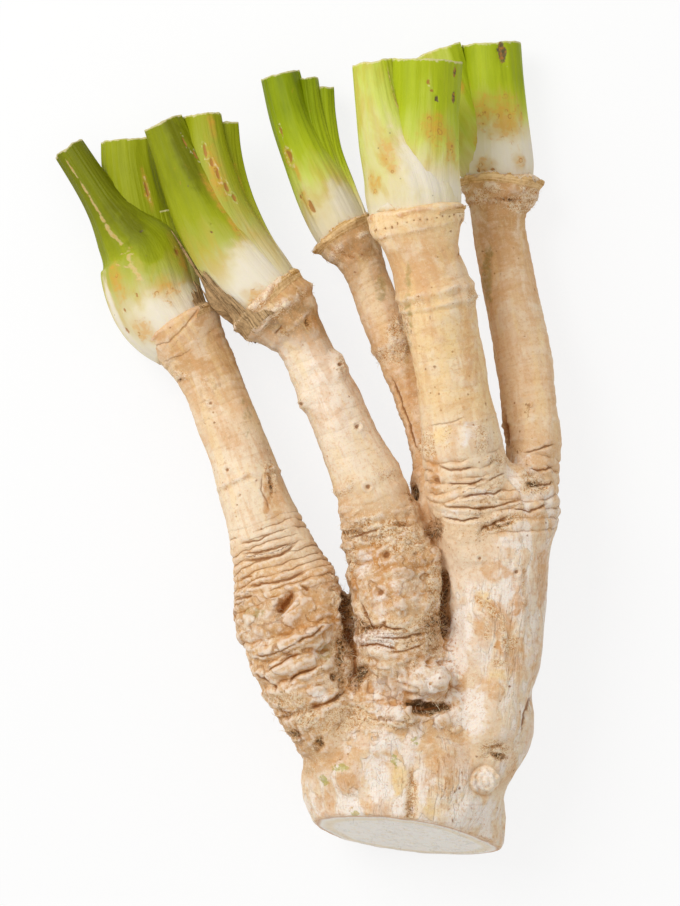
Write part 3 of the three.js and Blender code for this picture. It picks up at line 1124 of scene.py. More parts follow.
# Rings left by old leaves: limb, y, width, height and shares of fuzz, orange and grey.
RINGS = [NodeRing(*row) for row in (
    ("neck_1", 37, 0.8, 0.5, 0.35, 0.5), ("neck_1", 30, 0.7, 0.3, 0.35, 0.3, 0.3),
    ("neck_1", -9, 0.7, 0.6, 0.5, 0.4), ("neck_2", 45, 1.3, 1.0, 0.8, 1.0),
    ("neck_2", 41, 1.6, 0.9, 0.8, 0.5, 0.3), ("neck_2", 36, 1.0, 0.5, 0.4, 0.1, 0.5),
    ("neck_2", 25, 1.4, 0.3, 0.3, 0.3), ("neck_2", -9, 1.6, 0.6, 0.7, 0.5),
    ("neck_2", -20, 1.2, 0.9, 0.9, 0.4), ("neck_3", 66, 1.1, 0.9, 0.7, 1.0),
    ("neck_3", 62, 1.2, 0.5, 0.8, 0.5), ("neck_3", 32, 2.2, 0.9, 1.0, 0.4),
    ("neck_4", 70, 0.8, 0.7, 0.1, 0.8), ("neck_4", 65, 0.7, 0.4, 0.35, 0.6),
    ("neck_4", 47, 1.2, 0.8, 0.4, 0.3), ("neck_4", 43, 0.7, 0.5, 0.2, 0.1),
    ("neck_4", 9, 0.5, 0.3, 0.05, 0.5), ("neck_5", 81, 1.3, 1.0, 0.8, 0.5),
    ("neck_5", 78, 1.3, 0.8, 1.0, 0.4, 0.2), ("neck_5", 74, 0.8, 0.5, 0.6, 0.2, 0.4),
    ("neck_5", 44, 0.6, 0.2, 0.1, 0.1), ("neck_5", 8, 0.7, 0.4, 0.1, 0.3),
    ("neck_5", 2, 0.6, 0.4, 0.1, 0.3),
)]

# Stretches wrinkled across: limb, lowest and highest y, spacing, depth and how strongly it is drawn.
WRINKLES = [WrinkleBand(*row) for row in (
    ("neck_1", -46, -22, 2.4, 0.6, 0.9), ("neck_1", -82, -50, 6.5, 0.9, 0.4),
    ("neck_1", 8, 34, 2.6, 0.14, 0.15), ("neck_2", -72, -46, 5.0, 0.8, 0.4),
    ("neck_2", -40, -12, 4.0, 0.4, 0.2), ("neck_2", -6, 34, 4.5, 0.15, 0.15),
    ("neck_4", -24, 0, 2.8, 0.8, 0.6), ("neck_4", 16, 64, 4.5, 0.12, 0.1),
    ("neck_5", -24, 0, 3.2, 0.7, 0.6), ("neck_5", 4, 70, 3.6, 0.12, 0.08),
    ("right_lobe", -26, -8, 3.0, 0.8, 0.6), ("neck_3", -10, 60, 3.4, 0.16, 0.15),
)]

# Swellings and hollows: x, y, half_x, half_y, height and turn.
FORMS = [Form(*row) for row in (
    (-7, -46, 6.5, 1.8, -2.2, 48), (-4, -48, 6, 2.5, 1.2, 50), (-1, -41, 5, 2, 1.3, 20),
    (7, -39, 5, 7, 1.0), (-16, -56, 4, 5, 0.7), (-5, -57, 13, 2.2, 1.5, 26), (-5, -63.5, 9, 2.6, 1.2, 25),
    (-4, -69.5, 8, 2, 1.0, 20), (14, -76, 12, 5, 0.7), (27, -47, 3, 2.5, 1.2), (37, -31, 2, 3, 1.1),
    (38, -39, 2, 3, 1.0), (36, -46, 3, 2, 0.9), (36, -57, 3, 4, 0.8), (20, -57, 6, 4, 0.9),
    (22, -40, 6, 5, 0.5), (30, -52, 6, 3, 0.5), (20, -55.5, 6, 1.6, 1.0, 8), (21, -60, 7, 1.6, 0.9, -6),
    (28, -34, 4, 5, 0.9), (37, -67, 8, 4.5, 1.2, 15), (33, -64, 3, 2.5, 0.9), (32, -70, 3.5, 2.5, 0.9),
    (39, -69, 3, 3, 0.8), (25, -78, 6, 4, 1.0), (10, 26, 3, 5, 1.2), (-1, 14, 2, 4, 1.0),
    (27, 31, 4, 4, 0.9), (48, 46, 3, 4, 0.8), (33, 44, 4, 3, 0.5), (68, 82, 3.5, 3.5, 1.4),
    (63, 79, 3, 2.5, 0.9), (55, 81, 3, 2.5, 0.8), (50, 77, 2.5, 2.5, 0.9), (67, 75, 3, 2, 0.7),
    (-14, 38, 4, 3, 0.9, 45), (-5, 44, 4, 2.5, 0.8), (17, 63, 3, 3, 0.8), (7, 67, 3, 2, 0.7),
    (53, -50, 6, 1.5, 0.8, -40), (58, -57, 1.5, 6, 0.8), (55, -61, 2.5, 5, -0.5), (63, -48, 2, 12, 0.6),
    (48, -62, 3, 16, 0.5), (56, -70, 3.5, 4, 0.5), (50, -31, 7, 3, 0.5), (12, -98, 5, 4, 0.4),
    (21, -106, 3, 5, 0.4), (22, -87, 5, 4, 0.8), (40, -96, 8, 10, 0.6), (31, -102, 2, 11, -0.9),
    (48, -108, 9, 5, 0.5), (49, -80, 7, 7, 0.7), (57, -89, 6, 4, -0.7), (48, -15, 12, 4, 0.6),
    (66, -13, 7, 5, 0.5), (42, 2, 8, 6, 0.4),
)]

# Patches of each kind: x, y, half_x, half_y, strength, and where they sink or are turned, sink and turn.
PATCHES = [Patch(mark, *row) for mark, rows in {
    Mark.PALE: (
        (21, -97, 5, 8, 0.9), (14, -107, 3, 5, 0.9), (24, -86, 5, 3, 0.8), (48, -108, 9, 5, 0.8),
        (49, -78, 5, 9, 0.9), (4, -73, 3, 2, 0.7), (-14, -57, 4, 2, 0.5), (17, -34, 3, 6, 0.7),
        (21, -56, 7, 4, 1), (31, -106, 1, 1.5, 0.9), (22, -46, 3, 6, 0.7), (14, -51, 2, 4, 0.8),
        (36, -67, 6, 5, 0.6), (24, -78, 6, 3, 0.8), (53, -98, 4, 4, 0.7), (4, -60, 4, 2, 0.5),
        (27, -40, 3, 4, 0.5), (49, -13, 8, 2, 0.6), (44, -19, 5, 2, 0.6), (65, -3, 4, 3, 0.5),
        (60, -27, 7, 3, 0.6), (45, -58, 4, 14, 0.9), (66, -60, 2, 10, 0.5), (48, 4, 4, 5, 0.6),
        (12, 10, 5, 10, 0.3),
    ),
    Mark.TAN: (
        (12, -98, 5, 4, 0.8), (21, -106, 3, 5, 0.8), (5, -107, 4, 5, 0.7), (40, -96, 8, 8, 0.6),
        (-2, -53, 8, 5, 0.6), (30, -27, 8, 6, 0.6), (61, -38, 3, 4, 0.6), (62, -44, 1.5, 5, 0.8),
        (52, -52, 3, 5, 0.7), (63, -60, 1.5, 9, 0.6), (51, -71, 3, 6, 0.5), (-9, -14, 3, 9, 0.7),
        (-1, -48, 10, 7, 0.9), (-14, -70, 4, 5, 0.7), (8, -90, 6, 4, 0.7), (57, -50, 5, 7, 0.9, 0, 30),
        (55, -36, 6, 4, 0.7), (60, -60, 3, 9, 0.9), (56, -71, 3, 4, 0.9), (70, -38, 3, 10, 0.8),
        # (48, 28) is painted shade down the right side of neck 4.
        (68, -62, 3, 10, 0.6), (48, 28, 3, 18, 0.7), (44, -97, 5, 8, 0.4), (63, -98, 3, 9, 0.3),
    ),
    Mark.YELLOW: (
        (27, -97, 3, 5, 0.9), (37, -106, 4, 4, 0.7), (52, -44, 3, 3, 0.8), (57, -69, 4, 5, 0.7),
        (40, 4, 3, 4, 0.7), (42, 32, 3, 7, 0.6),
    ),
    Mark.ORANGE: (
        (7, -39, 4, 6, 0.5), (31, -33, 5, 4, 0.5), (38, -9, 2, 4, 0.8), (-27, -3, 2, 2, 0.5),
        (2, 38, 2, 3, 0.5), (-12, -13, 1.5, 9, 0.8), (47, -9, 7, 2, 0.5), (60, -15, 8, 2, 0.5),
        (23, -31, 8, 6, 0.9), (23, -43, 6, 6, 0.8), (37, -42, 3, 14, 0.9), (14, -36, 2, 8, 0.8),
        (9, -47, 3, 10, 0.7), (17, -65, 5, 3, 0.8), (30, -61, 6, 2, 0.7), (-9, -43, 6, 2, 0.5, 0, 20),
        (-4, -74, 8, 2, 0.4), (57, -56, 2, 5, 0.8), (61, -48, 2, 4, 0.6), (53, -46, 6, 1.5, 0.9, 0, -35),
        (64, -40, 1.5, 8, 0.6), (66, -20, 6, 2, 0.6), (26, -76, 7, 2, 0.6), (40, -72, 3, 2, 0.6),
        (31, 21, 2, 8, 0.5), (36, -2, 3, 6, 0.6),
    ),
    Mark.GREY: (
        (-8, -48, 2, 4, 0.7, 0, -30), (-27, 19, 2, 4, 0.4), (-11, 38, 6, 3, 0.6, 0, -40),
        # (-31, 14) and (-24, 2) are painted shade on the shaded side of neck 1's upper part.
        (-31, 14, 3, 9, 0.3), (-24, 2, 2, 8, 0.25), (9, -36, 3, 5, 0.5), (62, 74, 4, 3, 0.4),
    ),
    Mark.OLIVE: (
        # (22, 50), (30, 40) and (54, 52) are painted shade along the edges of necks 3, 4 and 5 beside their
        # neighbours.
        (-16, -48, 4, 2, 0.7), (6, -60, 3, 3, 0.8, 0.5), (22, 50, 2, 6, 0.6), (54, 52, 2, 12, 0.7),
        (-18, 12, 2, 12, 0.4), (30, 40, 1.5, 16, 0.6),
    ),
    Mark.MOSS: (
        (10, -94, 3, 1.5, 0.8), (5, -98, 1.5, 2, 0.8), (26, -92, 1.5, 3, 0.7), (14, -108, 1.5, 2, 0.8),
        (32, -86, 2, 1.5, 0.7),
    ),
    Mark.HATCH: (
        (41, -97, 8, 9, 1), (-2, -53, 7, 5, 0.4), (57, -51, 5, 7, 1), (60, -62, 4, 9, 0.9),
        (55, -36, 6, 5, 0.7), (70, -45, 3, 14, 0.7), (12, -98, 5, 4, 0.7), (62, -98, 4, 10, 0.6),
        (21, -106, 3, 5, 0.6),
    ),
    Mark.FUZZ: (
        (31, -103, 2, 9, 0.8), (0, -79, 5, 4, 0.9), (27, -80, 6, 3, 0.9), (56, -89, 6, 4, 0.8),
        (14, -79, 10, 5, 0.8), (29, -27, 9, 7, 0.7), (16, -66, 4, 4, 0.9), (37, -56, 3, 6, 0.9),
        (57, -63, 3, 1.5, 0.7), (55, -22, 6, 1.5, 0.7, 0, 25), (66, -9, 3, 3, 0.8), (56, -3, 4, 2, 0.8),
        (-11, -8, 2, 6, 0.9, 0, 10), (-39, 22, 3, 2, 0.8), (10, 26, 2, 4, 0.7), (-1, 14, 1.5, 3, 0.6),
        (27, 30, 4, 5, 0.9), (48, 45, 2, 4, 0.6), (33, 43, 2, 2, 0.5), (38, -43, 3.5, 15, 0.9),
        (22, -25, 12, 4, 1), (13, -33, 2.5, 6, 0.9), (9, -40, 3.5, 9, 0.9), (11, -58, 3, 8, 0.8),
        (19, -66, 5, 2.5, 0.7), (30, -63, 4, 2, 0.6), (-6, -74, 7, 3, 0.7), (32, -13, 2.5, 4, 1),
        (60, -57, 3, 3, 0.7, 0, 30), (54, -47, 6, 1.3, 0.8, 0, -40), (58, -55, 1.2, 5, 0.8),
        (53, -53, 1, 5, 0.6), (64, -42, 0.8, 9, 0.5), (57, -22, 8, 2.5, 0.9, 0, 20), (68, -11, 5, 3, 0.9),
        (44, -12, 5, 1.5, 0.5), (27, 36, 4, 6, 0.8), (36, 1, 3, 5, 0.8), (41, 3, 1.5, 5, 0.5),
        (51, 3, 3, 5, 0.9), (-30, 20, 3, 2, 0.4), (64, 74, 5, 3, 0.8), (52, 76, 3, 3, 0.8),
    ),
    Mark.SOIL_AND_SHADE: (
        (33, -75, 5, 1, 1, 1.2, -8), (37, -76.5, 7, 2, 1, 1.8, 6), (3, -88, 1.5, 2, 0.7, 0.5),
        (8, -67, 1.5, 1.5, 1, 1), (31, -97, 0.8, 3, 0.6, 0.4), (30.3, -105, 1.4, 4, 0.6, 0.5),
        (31, -112, 0.6, 3, 0.6, 0.4), (14, -68, 3, 5, 0.8, 0.8), (38, -24, 3, 5, 0.8, 0.5),
        (41, -46, 1.5, 12, 0.9, 1), (11, -44, 1.5, 5, 1, 1), (15, -66, 2.5, 3, 1, 1.2),
        (57, -91, 4, 1, 0.9, 0.5, -15), (56, -88, 3, 0.8, 0.8, 0.4, 10), (32, -13, 1.5, 3, 1, 0.8),
        (57, -22.5, 6, 0.9, 0.9, 0.7, 18), (67, -10, 3, 1.2, 0.9, 0.5), (-3, -84, 2.5, 1.5, 0.9, 0.5),
        # (60, 75.3) and (-7, 35), thin dashes just under the collars of crowns 5 and 2, are painted shade
        # under the collars.
        (4, -86, 1.5, 3, 0.9, 0.6), (-6, -79, 4, 0.8, 0.8, 0.5, 25), (60, 75.3, 5, 0.8, 0.8, 0.3, -5),
        (46, 66, 1, 3, 0.9, 0.4), (0, 38, 1.2, 2.5, 0.8, 0.3), (-7, 35, 3, 0.8, 0.6, 0.3, -40),
        (-38, 21, 2, 0.7, 0.8, 0.3, 30), (12, 58.5, 3, 0.7, 0.6, 0.3, -25), (66, 12, 0.7, 3, 0.6, 0.3),
        (-11, -10, 0.8, 4, 0.8, 0.4, 10), (12, -24.5, 4, 0.9, 0.9, 0.6, 10), (28, -22, 3, 1, 0.8, 0.5),
        (23, -79.5, 4, 0.8, 0.7, 0.5, 10),
    ),
}.items() for row in rows]

# Cracks and clefts: the line's corners, half width, depth and share of soil.
CRACKS = [Crack(*row) for row in (
    (((-20, -28), (-14, -26.5), (-10, -25)), 0.35, 0.7), (((-20, -31.5), (-12, -30), (-3, -27)), 0.35, 0.7),
    (((-20, -33.5), (-8, -31), (-2, -27)), 0.45, 0.9), (((-21, -38.5), (-16, -37.5)), 0.3, 0.5),
    (((-19, -41), (-8, -39), (1, -35)), 0.5, 1.1), (((-22, -45), (-16, -43)), 0.4, 0.7),
    (((-3, -42), (-6, -44), (-10, -48)), 1.2, 2.0, 0.7), (((-2, -40), (1, -42)), 0.5, 1.0),
    (((-4, -57), (1, -55), (5, -52)), 0.5, 1.0), (((-16, -61), (-9, -60), (-1, -56)), 0.3, 0.6),
    (((-13, -66), (-9, -64), (-5, -61), (0, -60)), 0.5, 1.1),
    (((-6, -70), (-4, -67), (4, -63.5)), 0.5, 1.0), (((-15, -66), (-9, -72)), 0.6, 1.0, 0.3),
    (((11, -41), (12, -49), (13, -56), (14, -64), (12, -71)), 1.3, 2.4, 0.8),
    (((12, -71), (8, -74), (0, -77)), 0.8, 1.4, 0.5), (((12, -26), (17, -25), (22, -23)), 0.8, 1.2, 0.3),
    (((16, -45), (18, -50), (20, -54)), 0.5, 0.9), (((20, -55), (28, -55.5), (35, -54.5)), 0.35, 0.6),
    (((24, -60), (30, -59), (35, -57)), 0.35, 0.6), (((16, -58), (21, -57.5), (27, -59)), 0.4, 0.8),
    (((15, -53.5), (22, -52), (30, -53)), 0.45, 0.9), (((40, -34), (41.5, -44), (41, -55)), 1.1, 2.0, 0.6),
    (((29, -74), (34, -76.5), (42, -75)), 0.6, 1.8, 0.8), (((67, -73), (65, -78), (64, -84)), 0.5, 1.0),
    (((39, -20), (46, -21), (52, -20)), 0.4, 0.9), (((40, -10), (48, -10.5), (54, -8)), 0.4, 0.9),
    (((38, -4), (42, -6), (50, -5)), 0.35, 0.7), (((60, -17), (66, -18), (72, -16)), 0.4, 0.9),
    (((64, -1), (69, 0), (74, 2)), 0.35, 0.7), (((46, 67), (46, 60), (44, 56)), 0.5, 0.8),
    (((44, -14.5), (48, -13.5), (55, -13), (60, -11.5)), 0.45, 0.9),
    (((38, -16), (44, -17), (51, -17.5), (58, -16), (65, -14)), 0.45, 1.0),
    (((53, -9), (59, -7)), 0.3, 0.5), (((50, -24), (55, -22), (60, -19)), 0.7, 1.0, 0.3),
    (((66, -5.5), (71, -6), (74, -4.5)), 0.4, 0.8), (((68, -10), (74, -10)), 0.35, 0.7),
    (((57, 14), (59, 7), (60, 0)), 1.0, 1.6, 0.5), (((25, 23), (30, 9), (33.5, -2)), 0.4, 0.8),
    (((36, 7), (42, 8), (47, 9.5)), 0.25, 0.3), (((-50, 30), (-42, 32), (-36, 37), (-32, 44)), 0.2, 0.3),
    (((-44, 26), (-38, 28), (-34, 31)), 0.2, 0.2), (((-13, -7), (-13.5, -12), (-11, -18)), 0.3, 0.4),
    (((-10, 34), (-7, 37)), 0.3, 0.5),
)]

# Pits: x, y and radius.
PITS = [Pit(*row) for row in (
    (-24, -6, 1.1), (-20, -13.5, 0.8), (-21, -16.5, 0.7), (-29, 14, 1), (15, 7, 1.4), (-1, 14, 1),
    (18, -11, 1.4), (9, 25, 1), (38, -9, 1.8), (23, -51, 1.2), (28, -48, 1), (38.5, 56.5, 0.6),
    (58, 53, 0.5), (65, 34, 0.6), (33, 45, 0.7), (23.4, -31, 2.2), (22, -42, 1.8), (45, -100, 0.8),
    (62, -36, 1.3), (51, -32, 1.0), (60, -70, 0.8),
)]


# --- The root -------------------------------------------------------------------------------------


@dataclass
class Ground:
    """The root's surface at a set of points: which limb each is on, and what is carved and grows there.

    The which field is the number of each point's own limb. The local coordinates are how far it stands
    sideways and outwards from that limb's middle, and how far along. The shares are how much each limb
    counts at a point. The second field is the distance from the next nearest limb, in its radii, and
    alone is 0 where two limbs meet and 1 clear of the others. The knob and the bud are x, y and radius,
    and the ring of holes in a collar is its limb, y, number of holes and their radius.
    """

    places: Array
    normals: Array
    knob: tuple[float, float, float] = (35.0, -67.5, 7.5)
    bud: tuple[float, float, float] = (53.0, -98.0, 4.3)
    hole_ring: tuple[str, float, int, float] = ("neck_4", 67, 34, 0.45)
    collar_radius: float = 13.0
    small_pits: int = 150

    def __post_init__(self) -> None:
        """Finds the limbs: the nearest is the one whose middle is fewest of its own radii away."""
        scores, coordinates = [], []
        for limb in LIMBS:
            path, radius, tangent, side, outward, run = limb.samples()
            score, at = np.full(len(self.places), 1e9), np.zeros(len(self.places), int)
            for k in range(len(path)):
                here = ((self.places - path[k]) ** 2).sum(axis=1) / radius[k] ** 2
                closer = here < score
                score[closer], at[closer] = here[closer], k
            offset = self.places - path[at]
            parts = [(offset * way[at]).sum(axis=1) for way in (side, outward, tangent)]
            parts[2] += run[at]
            coordinates.append(np.stack(parts, axis=1))
            scores.append(np.sqrt(score))
        scores = np.stack(scores, axis=1)
        order = np.argsort(scores, axis=1)
        rows = np.arange(len(self.places))
        self.which = order[:, 0]
        self.local = np.stack(coordinates, axis=1)[rows, self.which]
        self.second = scores[rows, order[:, 1]]
        weight = np.exp(-9 * (scores - scores.min(axis=1, keepdims=True)))
        self.shares = weight / weight.sum(axis=1, keepdims=True)
        self.top = ease(-0.15, 0.25, self.normals[:, 2])
        self.alone = ease(0.03, 0.25, self.second - scores.min(axis=1))

    def mixed(self, stops_of: str) -> Array:
        """Reads the limbs' stops at each point's y and mixes them by the limbs' shares.

        Args:
            stops_of: The limbs' field that holds them.

        Returns:
            One value per point.
        """
        y = self.places[:, 1]
        values = [np.interp(y, *np.array(getattr(limb, stops_of)).T) for limb in LIMBS]
        return (np.stack(values, axis=1) * self.shares).sum(axis=1)

    def tone(self) -> Array:
        """Returns the skin's ground colour, in linear light."""
        tones = np.stack([limb.tone_at(self.places[:, 1]) for limb in LIMBS], axis=1)
        return (tones * self.shares[..., None]).sum(axis=1)

    def oval(self, x: float, y: float, half_x: float, half_y: float, turn: float) -> Array:
        """Measures the points from an oval's middle, in plan.

        Args:
            x: The middle's x.
            y: The middle's y.
            half_x: Half the length.
            half_y: Half the width.
            turn: Degrees that it is turned.

        Returns:
            How many half lengths each point is away.
        """
        angle = math.radians(turn)
        dx, dy = self.places[:, 0] - x, self.places[:, 1] - y
        along = (dx * math.cos(angle) + dy * math.sin(angle)) / half_x
        return np.hypot(along, (dy * math.cos(angle) - dx * math.sin(angle)) / half_y)

    def on_limb(self, name: str, *heights: float) -> tuple[Array, list[float]]:
        """Tells which points are on a limb, and its run lengths where it passes the given values of y."""
        number = [limb.name for limb in LIMBS].index(name)
        return self.which == number, [LIMBS[number].run_at(y) for y in heights]

    def carving(self) -> Array:
        """Works out how far the surface stands out from, or sinks below, the plain relaxed body.

        It is the sum of wide lumps, folds, plates, fuzz, forms, wrinkles, node rings, cracks, pits and
        sunken patches, each held to the stretch of root where it grows.

        Returns:
            The height in millimetres.
        """
        places, top = self.places, self.top
        folds, crust = self.mixed("folds"), self.mixed("crust")
        fuzz = self.marks()[Mark.FUZZ]
        height = layered(places, 16.0, 2, SEED) * (0.4 + 1.2 * folds)
        height += layered(places, 4.5, 3, SEED + 1) * (0.18 + 0.5 * crust + 0.35 * folds)
        height += layered(self.local * (1, 1, 0.25), 7.0, 2, SEED + 4) * 0.7 * (1 - folds)
        height += 1.9 * (np.minimum(np.abs(self.fold_field()), 0.45) - 0.16) * folds * self.alone
        height += layered(places, 1.7, 2, SEED + 5, crust) * 0.6 * crust
        height += 0.75 * self.plate_steps()[0] * np.clip(crust + 0.5 * folds - 0.1, 0, 1) * self.alone
        height += layered(places, 2.6, 3, SEED + 2, fuzz) * 1.1 * fuzz
        for form in FORMS:
            reach = self.oval(form.x, form.y, form.half_x, form.half_y, form.turn)
            height += form.height * ease(1.25, 0.35, reach) * top
        for part in (self.wrinkle_lines(), self.ring_profile(), self.crack_lines(), self.pit_profile()):
            height += part[0]
        for patch in PATCHES:
            if patch.sink:
                height -= patch.sink * self.patch_share(patch)
        height += self.knob_height()
        return height

    def fold_field(self) -> Array:
        """Returns the field whose size is the fold's height; a crease runs where it passes 0."""
        return layered(self.local * (1.0, 1.0, 2.5) + self.which[:, None] * 31.0, 13.0, 2, SEED + 3)

    def plate_steps(self) -> tuple[Array, Array]:
        """Lays flaking cork: flat plates, each a step above the next, with a sharp edge.

        A field of noise has a whole part w and a rest r; the height is w + r risen from 0 to 1 over the
        first quarter.

        Returns:
            The height in plates, and the distance from the nearest edge in half widths of its line.
        """
        stretched = self.local * (1.0, 1.0, 1.9) + self.which[:, None] * 43.0
        field = layered(stretched, 12.0, 2, SEED + 7) * 2.8
        rest = field - np.floor(field)
        return np.floor(field) + ease(0.0, 0.25, rest), (rest - 0.05) / 0.07

    def patch_share(self, patch: Patch) -> Array:
        """Finds the points in an oval patch with a ragged edge.

        Args:
            patch: The patch.

        Returns:
            Its strength inside it, falling to 0 outside.
        """
        reach = self.oval(patch.x, patch.y, patch.half_x, patch.half_y, patch.turn)
        near = (reach < 1.9).astype(float)
        ragged = 0.55 * layered(self.places, 4.0, 3, SEED + 31, near)
        return patch.strength * ease(1.3, 0.5, reach + ragged) * self.top

    def marks(self) -> dict[Mark, Array]:
        """Gathers the patches of each kind, and scatters some of their kind where none is listed.

        Returns:
            A share from 0 to 1 for each kind of mark.
        """
        marks = {mark: np.zeros(len(self.places)) for mark in Mark}
        for patch in PATCHES:
            at_least(marks[patch.mark], self.patch_share(patch))
        crust, under = self.mixed("crust"), 1 - self.top
        clump = ease(0.02, 0.32, layered(self.places, 9.0, 3, SEED + 32))
        at_least(marks[Mark.FUZZ], crust * (0.15 + 0.65 * clump))
        at_least(marks[Mark.FUZZ], 0.95 * self.cleft(1.2, 1.0))
        marks[Mark.FUZZ] *= 1 - 0.8 * marks[Mark.PALE]
        on_right = self.shares[:, [0, 1]].sum(axis=1)
        streaky = ease(0.02, 0.3, layered(self.places * (1, 0.4, 1), 13.0, 2, SEED + 33))
        at_least(marks[Mark.PALE], under * on_right * streaky * 0.8)
        for mark, seed in ((Mark.TAN, 34), (Mark.YELLOW, 35), (Mark.ORANGE, 36)):
            spot = ease(0.12, 0.4, layered(self.places, 10.0, 2, SEED + seed))
            at_least(marks[mark], 0.7 * under * spot)
        return marks

    def cleft(self, mouth: float, floor: float) -> Array:
        """Tells how deep each point is in a crusty cleft between limbs.

        The taproot and its lobe count as one limb here.

        Args:
            mouth: Where the cleft starts, in radii of the next nearest limb.
            floor: Where it is deepest.

        Returns:
            A share from 0 to 1.
        """
        grown_apart = 1 - self.shares[:, :2].sum(axis=1) ** 2
        return ease(mouth, floor, self.second) * grown_apart * np.minimum(2 * self.mixed("crust"), 1)

    def ring_profile(self) -> tuple[Array, Array, Array, Array]:
        """Raises the node rings: a ragged ridge, with a groove just below it.

        Returns:
            The height change in millimetres, and shares of fuzz, orange and grey.
        """
        height, fuzz, orange, grey = np.zeros((4, len(self.places)))
        for k, ring in enumerate(RINGS):
            on_limb, (at,) = self.on_limb(ring.limb, ring.y)
            mine = np.flatnonzero(on_limb & (np.abs(self.local[:, 2] - at) < 8 * ring.width))
            places = self.places[mine]
            shake = 1.1 * layered(places, 6.0, 3, SEED + 70 + k)
            gap = (self.local[mine, 2] - at + shake) / ring.width
            ragged = 0.7 + 0.9 * layered(places, 2.4, 2, SEED + 100 + k)
            patchy = ease(-0.35, 0.2, layered(places, 7.0, 2, SEED + 130 + k))
            height[mine] += ring.height * ragged * (bell(gap) - 0.6 * bell(gap + 1.7)) * (0.4 + 0.6 * patchy)
            marks = ((fuzz, ring.fuzz, 1.6), (orange, ring.orange, 1.3), (grey, ring.grey, 2.2))
            for mark, strength, width in marks:
                at_least(mark, strength * bell((gap + 0.4) / width) * patchy, mine)
        return height, fuzz, orange, grey

    def wrinkle_lines(self) -> tuple[Array, Array, Array]:
        """Presses wrinkles across the limbs.

        A wrinkle is a narrow valley where the run along the limb, shaken by noise, is a whole number
        of spacings. Noise makes each one come and go round the limb.

        Returns:
            The height change in millimetres, the signed distance from the nearest valley in half
            widths, and how strongly its line is drawn.
        """
        height, gap, drawn = np.zeros((3, len(self.places)))
        for k, band in enumerate(WRINKLES):
            on_limb, (low, high) = self.on_limb(band.limb, band.y_low, band.y_high)
            run = self.local[:, 2]
            mine = np.flatnonzero(on_limb & (run > low - 2) & (run < high + 2))
            places, run = self.places[mine], run[mine]
            phase = (run + band.spacing * 0.9 * layered(places, 10.0, 3, SEED + 20 + k)) / band.spacing
            away = np.sin(math.pi * phase) * band.spacing / math.pi
            come = ease(-0.4, 0.1, layered(self.local[mine] * (1, 1, 2.2), 8.0, 2, SEED + 45 + k))
            window = ease(low - 2, low + 3, run) * ease(high + 2, high - 3, run) * come * self.alone[mine]
            height[mine] -= band.depth * bell(away / (0.13 * band.spacing + 0.12)) * window
            gap[mine] = away / 0.2
            at_least(drawn, band.drawn * window, mine)
        return height, gap, drawn

    def crack_lines(self) -> tuple[Array, Array, Array, Array]:
        """Cuts the listed cracks.

        A crack sinks by depth * exp(-(d / width)^2), with its line shaken by noise and both ends
        tapered, and its lips rise a fifth as much 1.8 widths out.

        Returns:
            The height change in millimetres, the signed distance from the nearest crack in half
            widths, how strongly it is drawn, and the soil left in it.
        """
        places = self.places
        plan = places[:, :2] + 1.1 * np.stack(
            [layered(places, 5.0, 4, SEED + 11), layered(places, 5.0, 4, SEED + 12)], axis=1
        )
        vary = 0.85 + 0.8 * layered(places, 4.0, 2, SEED + 13)
        height, drawn, soil_and_shade = np.zeros((3, len(places)))
        signed = np.full(len(places), 9.0)
        for crack in CRACKS:
            corners = np.array(crack.line)
            inside = (plan > corners.min(axis=0) - 6) & (plan < corners.max(axis=0) + 6)
            near = np.flatnonzero(inside.all(axis=1) & (self.top > FAINT))
            gap, share = line_distance(plan[near], crack.line)
            taper = np.minimum(ease(0.0, 0.2, share), ease(1.0, 0.8, share)) * self.top[near]
            width = crack.width * (0.7 + 0.5 * vary[near]) * (0.35 + 0.65 * taper)
            dip = bell(gap / np.maximum(width, 0.32)) * vary[near]
            height[near] += crack.depth * taper * (0.22 * bell((np.abs(gap) - 1.8 * width) / width) - dip)
            inked = gap / (0.2 + 0.25 * width)
            closer = np.abs(inked) < np.abs(signed[near])
            signed[near[closer]] = inked[closer]
            drawn[near[closer]] = (taper * ease(1.8, 1.0, np.abs(gap)))[closer] * min(1.0, 0.25 + crack.depth)
            at_least(soil_and_shade, crack.soil_and_shade * taper * bell(gap / (1.1 * width)), near)
        return height, signed, drawn, soil_and_shade

